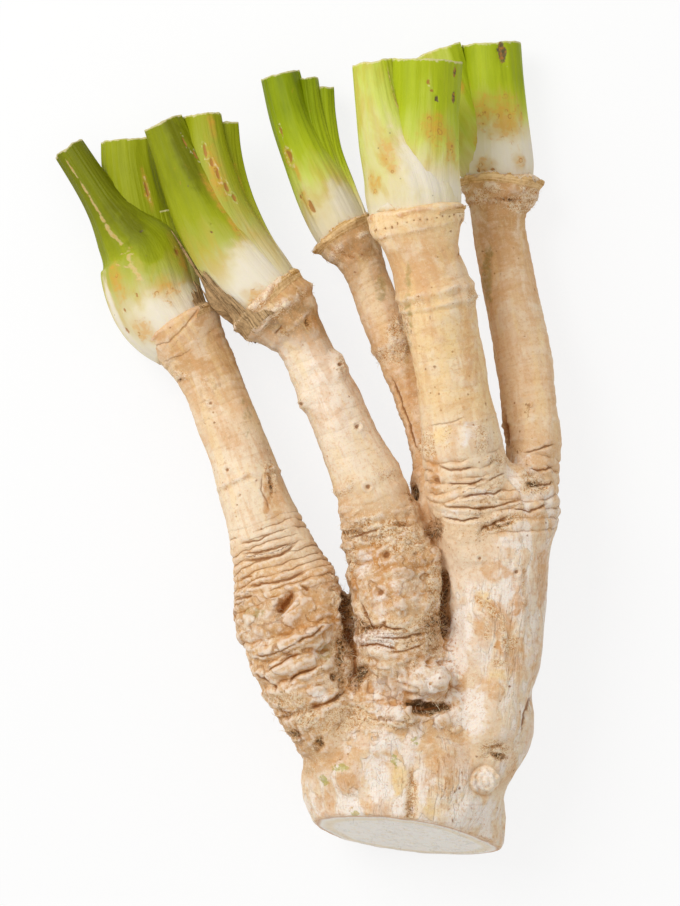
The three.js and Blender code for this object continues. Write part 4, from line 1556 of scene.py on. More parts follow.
    def pit_profile(self) -> tuple[Array, Array]:
        """Adds up the listed pits, small ones scattered all round, and the row of holes in a collar.

        A pit sinks by exp(-(d / 0.55 r)^2) and its rim rises at d = r.

        Returns:
            The height change in millimetres, and how dark the pit is from 0 to 1.
        """
        places = self.places
        height, dark = np.zeros((2, len(places)))
        for pit in PITS:
            gap = np.hypot(places[:, 0] - pit.x, places[:, 1] - pit.y) / pit.radius
            near = np.flatnonzero((gap < 3) & (self.top > FAINT))
            d, top = gap[near], self.top[near]
            height[near] += 0.4 * min(pit.radius, 1.6) * (0.8 * bell((d - 1) / 0.3) - bell(d / 0.55)) * top
            at_least(dark, bell(d / 0.6) * top, near)
        rng = np.random.default_rng(SEED)
        picks = rng.choice(len(places), self.small_pits, replace=False)
        for pick, size in zip(picks, rng.uniform(0.3, 0.8, self.small_pits)):
            near = np.flatnonzero(np.abs(places - places[pick]).max(axis=1) < 3 * size)
            d = np.linalg.norm(places[near] - places[pick], axis=1) / size
            height[near] += 0.35 * size * (0.6 * bell((d - 1) / 0.35) - bell(d / 0.6))
            at_least(dark, 0.8 * bell(d / 0.7), near)
        name, y, count, size = self.hole_ring
        on_limb, (run,) = self.on_limb(name, y)
        mine = np.flatnonzero(on_limb)
        local = self.local[mine]
        turn = np.arctan2(local[:, 1], local[:, 0]) * count / (2 * math.pi)
        shift = rng.uniform(-0.3, 0.3, (count + 2, 2))[np.round(turn).astype(int) % count]
        arc = (turn - np.round(turn) + shift[:, 0]) * 2 * math.pi * self.collar_radius / count
        d = np.hypot(arc, local[:, 2] - run + 1.6 * shift[:, 1]) / size
        height[mine] -= 0.4 * bell(d)
        at_least(dark, 0.9 * bell(d / 1.1), mine)
        return height, dark

    def knob_height(self) -> Array:
        """Folds the knob into ridges that fan out, and the bud into rings round its middle.

        Returns:
            The height in millimetres.
        """
        places = self.places
        height = np.zeros(len(places))
        for (x, y, radius), rings, fans, moat in ((self.knob, 0.0, 0.3, 0.15), (self.bud, 0.3, 0.2, 0.8)):
            gap = np.hypot(places[:, 0] - x, places[:, 1] - y)
            angle = np.arctan2(places[:, 1] - y, places[:, 0] - x)
            inside = ease(radius * 1.1, radius * 0.85, gap) * self.top
            height += inside * rings * np.sin(gap * 3.4 + 1.2 * np.sin(2 * angle + 1))
            height += inside * fans * np.sin(angle * 9 + 2 * np.sin(gap)) * ease(0.2, 0.7, gap / radius)
            height -= moat * bell((gap - radius * 1.08) / 0.6) * self.top
        return height


@dataclass
class Root:
    """The grown body: taproot, lobes and necks, in one mesh.

    The relaxing and turning are the rounds that even out its places and its outward ways.
    """

    voxel: float = 0.52
    triangle_limit: int = 196_000
    cut_centre: tuple[float, float, float] = (30, -117, 23)
    cut_turn: float = 7.7
    cut_lean: float = 18.0
    rim_bins: int = 72
    relaxing: int = 30
    turning: int = 6

    def __post_init__(self) -> None:
        """Works out the knife's plane: its normal faces down the root, turned left and leant upwards."""
        turn, lean = math.radians(self.cut_turn), math.radians(self.cut_lean)
        self.cut_point = np.array(self.cut_centre) + CENTRED
        self.cut_normal = np.array(
            (-math.sin(turn) * math.cos(lean), -math.cos(turn) * math.cos(lean), math.sin(lean))
        )

    def build(self, skin: Material) -> Piece:
        """Builds the root and stores the fields that its skin reads.

        Args:
            skin: The root's material.

        Returns:
            The finished piece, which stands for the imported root.
        """
        piece = self.remeshed(self.packed_copy())
        mesh = piece.data
        edges = read(mesh.edges, "vertices", 2, np.int32)
        places = relax(vertex_places(mesh), edges, self.relaxing)
        move_vertices(mesh, places)
        normals = relax(vertex_normals(mesh), edges, self.turning)
        normals /= np.linalg.norm(normals, axis=1, keepdims=True)
        set_field(mesh, "rest", places)
        set_field(mesh, "facing", normals)
        height = Ground(places, normals).carving() * ease(0.0, 1.2, self.height_above_cut(places) + 0.3)
        move_vertices(mesh, self.held_at_cut(places + normals * height[:, None]))
        piece = self.thinned(piece, self.triangle_limit / (2 * len(mesh.polygons)))
        self.store_fields(piece.data)
        show_as(piece, skin, "root_skin", "root")
        return piece

    def packed_copy(self) -> Piece:
        """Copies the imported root's mesh and merges its loose triangles.

        Returns:
            The copy.
        """
        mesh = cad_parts["root"].data
        corners = read(mesh.loops, "vertex_index", 1, np.int32)
        unique, back = np.unique(np.round(vertex_places(mesh), 3), axis=0, return_inverse=True)
        faces = back.ravel()[corners].reshape(-1, 3)
        sound = (faces[:, 0] != faces[:, 1]) & (faces[:, 1] != faces[:, 2]) & (faces[:, 2] != faces[:, 0])
        return new_mesh("root_copy", unique, faces[sound])

    def remeshed(self, source: Piece) -> Piece:
        """Rebuilds a mesh from a lattice of small cubes, so its faces are small and even.

        Args:
            source: The object to rebuild.

        Returns:
            The new object.
        """
        change = source.modifiers.new("even", "REMESH")
        change.mode, change.voxel_size = "VOXEL", self.voxel * MM
        return self.applied(source)

    def thinned(self, source: Piece, ratio: float) -> Piece:
        """Merges faces where the surface is plainest.

        Args:
            source: The object to thin.
            ratio: The share of its faces that is left.

        Returns:
            The new object.
        """
        change = source.modifiers.new("thin", "DECIMATE")
        change.ratio = ratio
        return self.applied(source)

    def applied(self, source: Piece) -> Piece:
        """Turns an object with modifiers into a plain mesh object, and drops the source.

        Args:
            source: The object with modifiers.

        Returns:
            The new object.
        """
        graph = bpy.context.evaluated_depsgraph_get()
        mesh = bpy.data.meshes.new_from_object(source.evaluated_get(graph))
        bpy.data.objects.remove(source)
        mesh.shade_smooth()
        return add_object("root_body", mesh)

    def height_above_cut(self, places: Array) -> Array:
        """Returns how far each point stands above the plane of the knife's cut."""
        return (self.cut_point - places) @ self.cut_normal

    def held_at_cut(self, places: Array) -> Array:
        """Presses what stands past the cut back to it, with the blade's faint ripple, and up to the floor.

        Args:
            places: The carved points.

        Returns:
            The held points.
        """
        places = above_floor(places)
        past = np.minimum(self.height_above_cut(places), 0)
        ripple = 0.14 * layered(places * (1.0, 0.3, 1.0), 7.0, 3, SEED + 60) * (past < 0)
        return places + (past - ripple)[:, None] * self.cut_normal

    def store_fields(self, mesh: Mesh) -> None:
        """Stores what the skin reads at each vertex, worked out at the places before the carving.

        Args:
            mesh: The carved and thinned mesh.
        """
        places, normals = vertex_places(mesh), vertex_normals(mesh)
        ground = Ground(get_field(mesh, "rest").astype(float), get_field(mesh, "facing").astype(float))
        for name in ("rest", "facing"):
            mesh.attributes.remove(mesh.attributes[name])
        edges = read(mesh.edges, "vertices", 2, np.int32)
        near, wide = relax(places, edges, 3), relax(places, edges, 16)
        hollow = ((near - places) * normals).sum(axis=1) / 0.2 + ((wide - places) * normals).sum(axis=1) / 0.9
        folds, crust = ground.mixed("folds"), ground.mixed("crust")
        on_trunk = ground.shares[:, :2].sum(axis=1)
        marks = ground.marks()
        _, ring_fuzz, ring_orange, ring_grey = ground.ring_profile()
        _, wrinkle, wrinkled = ground.wrinkle_lines()
        _, crack, cracked, cracked_soil_and_shade = ground.crack_lines()
        fuzz = np.maximum(marks[Mark.FUZZ], ring_fuzz)
        rough = np.maximum(np.maximum(folds, fuzz), 0.15)
        # Dark in every hollow of rough skin and deep in the clefts between limbs: painted shade, laid into
        # the soil field.
        soil_and_shade = 0.4 * np.clip(hollow - 0.35, 0, 1.6) * rough + 0.95 * ground.cleft(1.09, 0.96)
        shift = np.stack([ground.which * 61.0, ground.which * 37.0, ground.which * 113.0], axis=1)
        creased = ease(0.0, 0.35, layered(places, 12.0, 2, SEED + 6))
        cut = ease(0.45, 0.1, self.height_above_cut(places)) * ease(0.6, 0.85, normals @ self.cut_normal)
        edge = ease(1.6, 0.3, self.height_above_cut(places)) * (1 - cut)
        fields = {
            "tone": ground.tone(),
            "grain": ground.local + shift,
            # Soil in cracks and patches, together with the painted shade in hollows and clefts.
            "soil_and_shade": np.maximum(np.maximum(soil_and_shade, cracked_soil_and_shade), marks[Mark.SOIL_AND_SHADE]) * (1 - cut),
            "fuzz": fuzz * (1 - cut),
            # Bulging ridges: partly rubbed skin, partly a painted highlight.
            "worn_and_highlit": np.clip(-0.9 * hollow - 0.1, 0, 1) * (0.35 + 0.65 * rough) * (1 - cut),
            # How hollow the surface is, for the painted shade in the hollows.
            "sunken": np.clip(0.8 * hollow, 0, 1) * (0.35 + 0.65 * rough) * (1 - cut),
            "pale": marks[Mark.PALE] * (1 - 0.5 * fuzz),
            "tan": np.maximum(marks[Mark.TAN], 0.8 * edge),
            "yellow": marks[Mark.YELLOW],
            "orange": np.maximum(marks[Mark.ORANGE], ring_orange),
            "grey": np.maximum(marks[Mark.GREY], ring_grey),
            "olive": marks[Mark.OLIVE],
            "moss": marks[Mark.MOSS],
            "hatch": ground.alone * np.maximum(marks[Mark.HATCH], 0.4 * on_trunk * (1 - folds)),
            "blotchy": np.clip(0.25 + 0.6 * crust + 0.4 * folds, 0, 1),
            "sleek": np.clip(1 - crust - 1.5 * folds - on_trunk, 0, 1),
            "ringed": (0.2 + 0.2 * (1 - folds)) * ground.alone,
            "pit": ground.pit_profile()[1],
            "crack": crack,
            "crack_on": cracked,
            "fold": ground.fold_field() / 0.05,
            "fold_on": np.clip(folds - 0.25, 0, 1) * ground.alone * creased,
            "plate": ground.plate_steps()[1],
            "plate_on": ease(0.3, 0.8, crust + 0.5 * folds) * ground.alone * (1 - 0.6 * marks[Mark.PALE]),
            "peeling": ground.alone * np.clip(on_trunk + 0.35 * folds, 0, 1) * (1 - fuzz),
            "wrinkle": wrinkle,
            "wrinkle_on": wrinkled,
            "cut": cut,
            "pith": self.pith_reach(places, cut),
        }
        for name, values in fields.items():
            set_field(mesh, name, values)

    def pith_reach(self, places: Array, cut: Array) -> Array:
        """Measures the points of the cut face from its middle.

        Args:
            places: The carved points.
            cut: How surely each one is on the cut face.

        Returns:
            Their distance as a share of the way to the rim.
        """
        across = np.cross(self.cut_normal, (0.0, 0.0, 1.0))
        up = np.cross(across, self.cut_normal)
        one, two = (places - self.cut_point) @ across, (places - self.cut_point) @ up
        gap, turn = np.hypot(one, two), np.arctan2(two, one)
        count, whole = self.rim_bins, 2 * math.pi
        bins = ((turn / whole + 0.5) * count).astype(int) % count
        rim = np.array([gap[(bins == k) & (cut > 0.5)].max(initial=1.0) for k in range(count)])
        return gap / np.interp(turn, (np.arange(count) + 0.5) / count * whole - math.pi, rim, period=whole)


# --- Leaf stalks ----------------------------------------------------------------------------------


class Tint(Enum):
    """What a blot does to a stalk's skin."""

    SCAR = "scar"
    GREY = "grey"
    BLUSH = "blush"
    WHITE = "white"
    GREEN = "green"


@dataclass(frozen=True)
class Seam:
    """A raised, frayed line on a stalk, where a sheath's margin lies: shares of its length and sides."""

    line: Points
    width: float = 0.5
    height: float = 0.45


@dataclass(frozen=True)
class Stalk:
    """A leaf stalk, cut short.

    Its stations are place, half width, outer bulge and inner bulge. Its ripeness says how green it is,
    from 0 to 1, at shares of its length. A blot is a share of its length, a side, and half lengths
    along and across in millimetres. A side runs from -1, the left edge seen from above, to 1.
    """

    crown: str
    name: str
    facing: float
    stations: Points
    ripeness: Points
    blots: dict[Tint, Points] = field(default_factory=dict)
    seams: tuple[Seam, ...] = ()

    @property
    def olive(self) -> float:
        """How much the stalk's green leans to olive: more on the first two crowns than on the rest."""
        return 0.45 if self.crown in ("crown1", "crown2") else 0.08

    def rows(self, step: float) -> tuple[Array, Array]:
        """Smooths the stations and spaces them evenly.

        Args:
            step: Millimetres from one to the next.

        Returns:
            The rows, and the length run up to each.
        """
        rows = smooth_rows(placed(self.stations, self.crown.replace("crown", "neck_")), 40)
        run = np.concatenate([[0], np.linalg.norm(np.diff(rows[:, :3], axis=0), axis=1).cumsum()])
        even = np.linspace(0, run[-1], max(int(run[-1] / step), 12))
        return np.stack([np.interp(even, run, column) for column in rows.T], axis=1), even

    def angle_at(self, side: float) -> float:
        """Returns the angle round the stalk, in radians, that shows at a side seen from above."""
        return math.acos(max(-1.0, min(1.0, side))) + math.radians(self.facing)

    @property
    def seed(self) -> int:
        """A number of the stalk's own, to pick its noise."""
        return SEED + sum(map(ord, self.crown + self.name))


@dataclass
class StalkMaker:
    """Makes the leaf stalks' surfaces."""

    around: int = 120
    step: float = 0.7
    cap_rows: int = 9
    dish: float = 0.9

    def build(self, stalk: Stalk, skin: Material) -> Piece:
        """Lofts one stalk and stores its fields.

        A point stands to the side by width * cos(angle) and outwards by bulge * sin(angle). Low ribs
        run along it, and its rows go on over the hollowed cut end to the middle.

        Args:
            stalk: The stalk.
            skin: Its material.

        Returns:
            The finished piece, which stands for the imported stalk.
        """
        rows, even = stalk.rows(self.step)
        tangent, side, outward, _ = path_frames(rows[:, :3])
        roll = math.radians(stalk.facing)
        turned_side = side * math.cos(roll) - outward * math.sin(roll)
        turned_out = outward * math.cos(roll) + side * math.sin(roll)
        angle = np.arange(self.around) * 2 * math.pi / self.around
        share = even / even[-1]
        fields = self.skin_fields(stalk, angle, even, rows[:, 3])
        ribs = self.relief(stalk, angle, even, fields)
        across = (rows[:, 3:4] + ribs) * np.cos(angle)
        bulge = (np.where(np.sin(angle) > 0, rows[:, 4:5], rows[:, 5:6]) + ribs) * np.sin(angle)
        torn = 0.9 * layered(np.stack([across[-1], bulge[-1], 0 * angle], axis=1), 4.0, 3, stalk.seed)
        body = rows[:, None, :3] + across[..., None] * turned_side[:, None]
        body = body + bulge[..., None] * turned_out[:, None]
        body += (ease(0.85, 1.0, share)[:, None] * torn)[..., None] * tangent[:, None]

        inward = np.linspace(0, 1, self.cap_rows + 1)[1:-1] ** 0.8
        rim, middle = body[-1], body[-1].mean(axis=0)
        sunk = -self.dish * np.sin(inward * math.pi / 2)[:, None, None] * tangent[-1]
        top = rim + inward[:, None, None] * (middle - rim) + sunk
        ends = [body[0].mean(axis=0), middle - self.dish * tangent[-1]]
        points = np.vstack([body.reshape(-1, 3), top.reshape(-1, 3), ends])
        rings = len(even) + len(inward)
        k = np.arange(self.around)
        beside, last, low = (k + 1) % self.around, (rings - 1) * self.around, len(points) - 2
        fans = [np.stack([np.full_like(k, low), beside, k], axis=1)]
        fans.append(np.stack([last + k, last + beside, np.full_like(k, low + 1)], axis=1))
        faces = tube_faces(rings, self.around).tolist() + np.vstack(fans).tolist()
        piece = new_mesh(f"{stalk.crown}_{stalk.name}_leaf", above_floor(points), faces)
        fields["cut"] = np.zeros((len(even), self.around))
        for name, grid in fields.items():
            tail = np.full(self.around * len(inward), 1.0 if name == "cut" else 0.0)
            values = np.concatenate([grid.ravel(), tail, [grid[0, 0], tail[-1]]])
            set_field(piece.data, name, values)
        grain = np.stack([across, bulge, even[:, None] + 0 * across], axis=-1).reshape(-1, 3)
        grain = np.vstack([grain, np.tile(grain[-self.around :], (len(inward), 1)), grain[:1], grain[-1:]])
        set_field(piece.data, "grain", grain + stalk.seed * 3.1)
        show_as(piece, skin, "leaf_stalk", f"{stalk.crown}_{stalk.name}")
        return piece

    def relief(self, stalk: Stalk, angle: Array, even: Array, fields: dict[str, Array]) -> Array:
        """Works out the low relief: ribs along the stalk, slow swells, sheath edges, seams and scars.

        Args:
            stalk: The stalk.
            angle: Angles round it.
            even: Lengths run along it.
            fields: The skin's fields.

        Returns:
            Heights in millimetres, one row per ring.
        """
        grid_angle, grid_run = np.meshgrid(angle, even)
        width = stalk.stations[0][3]
        flat = [width * np.cos(grid_angle), width * np.sin(grid_angle), grid_run * 0.05]
        places = np.stack(flat, axis=-1).reshape(-1, 3)
        height = 0.3 * layered(places, 1.5, 2, stalk.seed).reshape(grid_run.shape)
        height += 0.5 * layered(places, 5.0, 2, stalk.seed + 1).reshape(grid_run.shape)
        share = grid_run / even[-1]
        height += 0.4 * bell(np.sin(grid_angle) / 0.13) * ease(0.05, 0.3, share)
        grid_places = np.stack([flat[0], flat[1], grid_run], axis=-1).reshape(-1, 3)
        rough = layered(grid_places, 1.8, 2, stalk.seed + 2).reshape(grid_run.shape)
        height += 0.2 * fields["rim"] - 0.3 * fields["scar"] + (0.8 * rough - 0.2) * fields["grey"]
        height += fields["ridge"] * (0.8 + rough)
        return height * ease(0.0, 0.05, share)

    def skin_fields(self, stalk: Stalk, angle: Array, even: Array, width: Array) -> dict[str, Array]:
        """Works out what the stalk's skin reads, one row per ring.

        Args:
            stalk: The stalk.
            angle: Angles round it.
            even: Lengths run along it.
            width: Half widths along it.

        Returns:
            Shares from 0 to 1 by name, and the seams' ridge in millimetres.
        """
        grid_angle, grid_run = np.meshgrid(angle, even)
        shape = grid_run.shape
        around = width[:, None] * np.stack([np.cos(angle), np.sin(angle)])[:, None]
        places = np.stack([around[0], around[1], grid_run], axis=-1).reshape(-1, 3)
        ragged = 0.6 * layered(places, 2.4, 3, stalk.seed + 5).reshape(shape)
        share = grid_run / even[-1]
        ripe = np.interp(share, *np.array(stalk.ripeness).T)
        fields = {name: np.zeros(shape) for name in ("scar", "grey", "blush", "rim", "seam", "ridge")}
        for tint, blots in stalk.blots.items():
            for along, side, half_along, half_across in blots:
                turn = np.angle(np.exp(1j * (grid_angle - stalk.angle_at(side)))) * width[:, None]
                reach = np.hypot((grid_run - along * even[-1]) / half_along, turn / half_across)
                soft = ease(1.5, 0.2, reach + ragged)
                if tint is Tint.WHITE:
                    ripe = ripe * (1 - soft)
                elif tint is Tint.GREEN:
                    ripe = ripe + 0.25 * soft
                elif tint is Tint.BLUSH:
                    at_least(fields["blush"], soft)
                else:
                    at_least(fields[tint.value], ease(1.1, 0.5, reach + 0.7 * ragged))
                    pale = 0.2 if tint is Tint.GREY else 0.5
                    at_least(fields["rim"], pale * bell((reach - 1.2 + ragged) / 0.35))
        for seam in stalk.seams:
            corners = [(along * even[-1], stalk.angle_at(side)) for along, side in seam.line]
            middle, scale = float(np.mean([at for _, at in corners])), float(width.mean())
            turn = np.angle(np.exp(1j * (grid_angle - middle))) * scale
            line = tuple((along, (at - middle) * scale) for along, at in corners)
            gap, run = line_distance(np.stack([grid_run.ravel(), turn.ravel()], axis=1), line)
            gap = gap.reshape(shape) + 1.8 * ragged
            fade = (ease(-0.01, 0.06, run) * ease(1.01, 0.94, run)).reshape(shape)
            near = bell(gap / seam.width) * fade * ease(-0.35, 0.1, ragged)
            at_least(fields["seam"], near)
            at_least(fields["ridge"], seam.height * near)
        base = ease(2.6, 0.6, grid_run + 1.5 * ragged)
        at_least(fields["blush"], 0.8 * base)
        fields["torn"] = ease(1.0, 0.1, even[-1] - grid_run + ragged)
        fields["olive"] = np.full(shape, stalk.olive)
        fields["ripe"] = ripe + 0.05 * np.sin(grid_angle * 2 + 1) * ease(0.15, 0.4, ripe)
        return fields


STALKS = (
    Stalk(
        "crown1", "thin_stalk", -8,
        ((-37, 32, 19, 10.5, 9, 1.5), (-42, 38, 18, 12.8, 11, 1.5), (-46, 44, 16.5, 13.6, 12, 1.4),
         (-48.8, 52, 15.6, 13.8, 11.6, 1.2), (-51.2, 59.5, 15.2, 12.6, 10, 1.2),
         (-55.8, 66, 15.6, 9.4, 7.4, 1.6), (-61.2, 73.5, 16, 6.2, 5, 2.2), (-66.4, 81.5, 15.6, 5, 4, 2.4),
         (-72.6, 91, 14.6, 4.6, 3.6, 2.2)),
        ((0, 0), (0.12, 0.06), (0.22, 0.18), (0.32, 0.34), (0.44, 0.54), (0.55, 0.76), (0.7, 0.96), (1, 1)),
        {Tint.WHITE: ((0.1, 0.1, 8, 10), (0.26, -0.95, 11, 2.5)), Tint.GREEN: ((0.5, 0.2, 12, 4),),
         Tint.BLUSH: ((0.2, 0.4, 6, 5), (0.38, 0.85, 6, 3), (0.12, -0.6, 4, 4), (0.36, -0.7, 8, 3)),
         Tint.SCAR: ((0.17, -0.9, 1.2, 1), (0.25, -0.35, 0.8, 0.8), (0.22, -0.7, 0.6, 0.6),
         (0.4, 0.8, 1.4, 1)), Tint.GREY: ((0.66, 0.9, 1, 0.8), (0.52, 0.35, 0.5, 0.5))},
        (Seam(((0.98, -0.6), (0.75, -0.5), (0.6, -0.45), (0.5, -0.25), (0.42, -0.3), (0.28, -0.1)), 0.8, 0.3),
         Seam(((0.44, -0.65), (0.4, -0.5), (0.37, -0.15)), 0.5, 0.3),
         Seam(((0.5, -0.5), (0.44, -0.1)), 0.4, 0.3)),
    ),
    Stalk(
        "crown1", "side_stub", 84,
        ((-36, 37, 18, 6, 4.6, 3), (-37, 45, 16.4, 6.4, 5, 3.4), (-38.6, 54, 15.4, 5.6, 4.6, 3.6),
         (-41.6, 62, 14.8, 4.4, 3.6, 3), (-44.4, 71.8, 14.4, 3.2, 2.6, 2)),
        ((0, 0.1), (0.4, 0.35), (1, 0.6)),
    ),
    Stalk(
        "crown1", "broad_stalk", 176,
        ((-37, 32, 18.6, 10, 9, 2), (-42, 38, 17.4, 12.2, 10.4, 2), (-46.4, 46, 15.6, 13, 11.6, 3),
         (-49.2, 57, 14.4, 12.4, 10.8, 4), (-51.2, 68, 14, 9.6, 8.2, 5), (-53.4, 79, 13.6, 8.2, 6.2, 5),
         (-54.8, 87, 13.2, 7.8, 5.4, 4.4), (-55.4, 93.6, 12.8, 7.4, 5, 4)),
        ((0, 0), (0.15, 0.1), (0.35, 0.4), (0.6, 0.6), (0.85, 0.68), (1, 0.64)),
        {Tint.BLUSH: ((0.75, 0.5, 7, 1.2), (0.2, 0, 8, 5)), Tint.SCAR: ((0.75, 0.5, 3, 0.6),),
         Tint.GREY: ((0.6, 0.3, 1, 0.6),)},
    ),
    Stalk(
        "crown2", "left_stalk", -24,
        ((-9, 40.5, 27, 9.6, 8.4, 2), (-14.4, 46.5, 26.5, 10.8, 9.8, 2), (-22.6, 56.4, 25.6, 10.8, 10, 2.4),
         (-30, 68, 25, 9.8, 9, 3), (-36, 80, 24.6, 8.2, 7.6, 3.4), (-40.4, 90, 24.2, 6.8, 6.2, 3.2),
         (-43.6, 97.6, 24, 6.2, 5.2, 2.8)),
        ((0, 0), (0.18, 0.02), (0.3, 0.18), (0.42, 0.42), (0.55, 0.58), (0.75, 0.78), (1, 0.86)),
        {Tint.GREEN: ((0.8, 0.3, 16, 2.5),), Tint.WHITE: ((0.2, 0.4, 9, 7),),
         Tint.SCAR: ((0.87, 0.55, 2.5, 0.5), (0.8, 0.7, 2, 0.5), (0.52, 0.7, 1.4, 0.5),
         (0.48, 0.85, 2, 0.7)), Tint.BLUSH: ((0.42, 0.75, 6, 4), (0.6, 0.6, 8, 2), (0.1, -0.3, 4, 5)),
         Tint.GREY: ((0.45, -0.1, 0.5, 0.5), (0.48, 0, 0.4, 0.4))},
    ),
    Stalk(
        "crown2", "middle_stalk", 20,
        ((-8, 42, 27, 8, 7.6, 3), (-12, 49, 26, 9, 8.6, 3), (-19, 59, 25, 9, 8.6, 3),
         (-25, 70, 24.6, 8, 7.8, 3), (-28.4, 81, 24.4, 6.8, 6.6, 3), (-30.6, 91.5, 24, 5.8, 5.6, 2.8),
         (-31.8, 100, 23.6, 5.4, 5, 2.6)),
        ((0, 0.05), (0.3, 0.2), (0.5, 0.4), (0.7, 0.5), (1, 0.58)),
        {Tint.SCAR: ((0.82, -0.1, 2.4, 0.6), (0.76, 0.1, 1.6, 0.7), (0.7, 0.25, 2.4, 0.7),
         (0.63, 0.45, 2, 0.8), (0.57, 0.6, 1.6, 0.8)), Tint.BLUSH: ((0.93, 0.5, 5, 1.5),
         (0.72, 0.2, 10, 2.5))},
    ),
    Stalk(
        "crown2", "right_stalk", 166,
        ((-9, 40.5, 27, 10, 9, 2), (-13.6, 47.5, 25.6, 10.8, 9.6, 2), (-19.4, 57, 23.6, 10.4, 9, 3),
         (-22.6, 68, 21.6, 8.2, 6.6, 4), (-24.4, 79, 20.6, 6, 4.6, 4), (-25.4, 89, 20, 4.8, 3.8, 3.4),
         (-25.8, 98, 19.8, 4.4, 3.4, 3)),
        ((0, 0), (0.25, 0.1), (0.5, 0.4), (0.75, 0.6), (1, 0.7)),
        {Tint.BLUSH: ((0.6, 0.5, 12, 2),)},
    ),
    Stalk(
        "crown3", "broad_stalk", -10,
        ((12, 62.5, 13.4, 8, 7.4, 1.4), (8.4, 69.5, 12.8, 8.6, 8.2, 1.4), (4, 78.5, 12.4, 8.2, 8.2, 1.8),
         (-1.2, 90, 12.2, 7, 7, 2), (-5.4, 101, 12.2, 6.2, 5.8, 2.2), (-8.6, 113.2, 12.2, 5.7, 4.8, 2.2)),
        ((0, 0.02), (0.14, 0.08), (0.28, 0.24), (0.42, 0.42), (0.6, 0.64), (0.8, 0.8), (1, 0.86)),
        {Tint.SCAR: ((0.7, -0.7, 1.8, 0.7), (0.55, -0.7, 2.4, 1.4), (0.33, -0.85, 0.8, 0.6),
         (0.25, -0.6, 2.6, 1)), Tint.WHITE: ((0.2, 0.5, 8, 4),), Tint.BLUSH: ((0.45, -0.6, 4, 1),
         (0.3, -0.7, 5, 2), (0.05, 0, 2, 6), (0.55, -0.75, 4, 2))},
    ),
    Stalk(
        "crown3", "middle_stalk", 76,
        ((12, 64, 13, 5, 5, 3), (9, 72, 12.4, 5, 6, 3), (6.4, 82, 12, 4.6, 5, 3),
         (3.4, 92, 11.8, 4.2, 4.2, 3), (1.2, 102, 11.6, 3.8, 3.6, 3), (-0.2, 112, 11.4, 3.4, 3.2, 2.8)),
        ((0, 0), (0.2, 0.2), (0.5, 0.6), (1, 0.86)),
    ),
    Stalk(
        "crown3", "right_stalk", 160,
        ((12, 62.5, 13.4, 8, 7.4, 1.6), (8.8, 69.5, 12.4, 8.8, 7.6, 1.6), (6.6, 79, 11.4, 7.4, 6.4, 2.6),
         (5, 90, 10.6, 5, 4.8, 3.4), (4.4, 100.6, 9.8, 3.6, 4, 3.2), (4.2, 109.6, 9.4, 3.2, 3.6, 3)),
        ((0, 0), (0.2, 0.15), (0.5, 0.5), (1, 0.78)),
    ),
    Stalk(
        "crown4", "left_stalk", -14,
        ((31.6, 68, 42.6, 13, 11, 1), (30.8, 74, 42.2, 13.6, 12, 1), (28.8, 81, 42.2, 12.6, 11.6, 1.4),
         (24.6, 91, 42.4, 9.6, 9, 2.4), (21.6, 102, 42.6, 7.4, 6.8, 2.8), (19.6, 114, 42.8, 6.4, 5.4, 2.6)),
        ((0, 0.04), (0.15, 0.16), (0.35, 0.27), (0.7, 0.36), (1, 0.46)),
        {Tint.WHITE: ((0.25, 0.4, 12, 7),), Tint.BLUSH: ((0.4, -0.3, 6, 3), (0.3, -0.8, 5, 3))},
        (Seam(((0.98, 0.5), (0.6, 0.6), (0.45, 0.5), (0.15, 0.85)), 0.4, 0.3),),
    ),
    Stalk(
        "crown4", "right_stalk", 22,
        ((31.8, 68, 42.4, 13, 10.6, 2), (32.6, 75, 42.2, 13.2, 11.2, 2), (33.6, 84, 42.4, 11.4, 10.4, 2.4),
         (34.4, 94, 42.6, 10.4, 9.4, 2.6), (35, 104, 42.8, 10.2, 8.6, 2.6),
         (35.4, 114.4, 43, 10.6, 8, 2.6)),
        ((0, 0), (0.22, 0.04), (0.36, 0.26), (0.5, 0.46), (0.75, 0.6), (1, 0.62)),
        {Tint.SCAR: ((0.85, 0.1, 0.8, 0.6), (0.8, 0.2, 0.5, 0.5)), Tint.BLUSH: ((0.56, 0.3, 5, 5),
         (0.45, 0.8, 6, 3), (0.06, 0, 2, 9)), Tint.GREY: ((0.93, 0.85, 2, 0.8), (0.77, 0.85, 2, 1),
         (0.75, 0.35, 1, 0.6))},
    ),
    Stalk(
        "crown4", "back_stalk", 184,
        ((31.6, 68, 42.6, 12.6, 11, 1), (31.4, 75, 41.6, 13.2, 11, 1), (30, 84, 40.6, 10.8, 9, 2),
         (29, 94, 39.6, 8, 6.6, 3), (28.2, 104, 39, 6.8, 5.4, 3), (27.8, 112.5, 38.8, 6.4, 4.8, 3)),
        ((0, 0), (0.2, 0.1), (0.5, 0.45), (1, 0.7)),
    ),
    Stalk(
        "crown5", "right_stalk", 12,
        ((58, 79, 14.2, 10, 9, 1), (57.6, 86, 13.8, 10.8, 10, 1), (57, 95, 13.6, 10.3, 9.6, 1.4),
         (56.5, 104, 13.6, 9.6, 8.8, 1.8), (56, 113, 13.6, 9.1, 8, 2), (55.4, 122.6, 13.6, 8.9, 7.2, 2)),
        ((0, 0), (0.28, 0.02), (0.4, 0.2), (0.55, 0.46), (0.75, 0.64), (1, 0.66)),
        {Tint.GREY: ((0.92, 0.35, 4, 1.7),), Tint.BLUSH: ((0.47, 0.3, 8, 7), (0.52, -0.4, 6, 6),
         (0.13, -0.4, 3, 4), (0.15, 0.6, 3, 3), (0.72, -0.9, 2, 2)), Tint.SCAR: ((0.1, -0.2, 0.8, 0.8),
         (0.1, -0.6, 0.8, 0.8))},
        (Seam(((0.5, -0.85), (0.37, -0.3))),),
    ),
    Stalk(
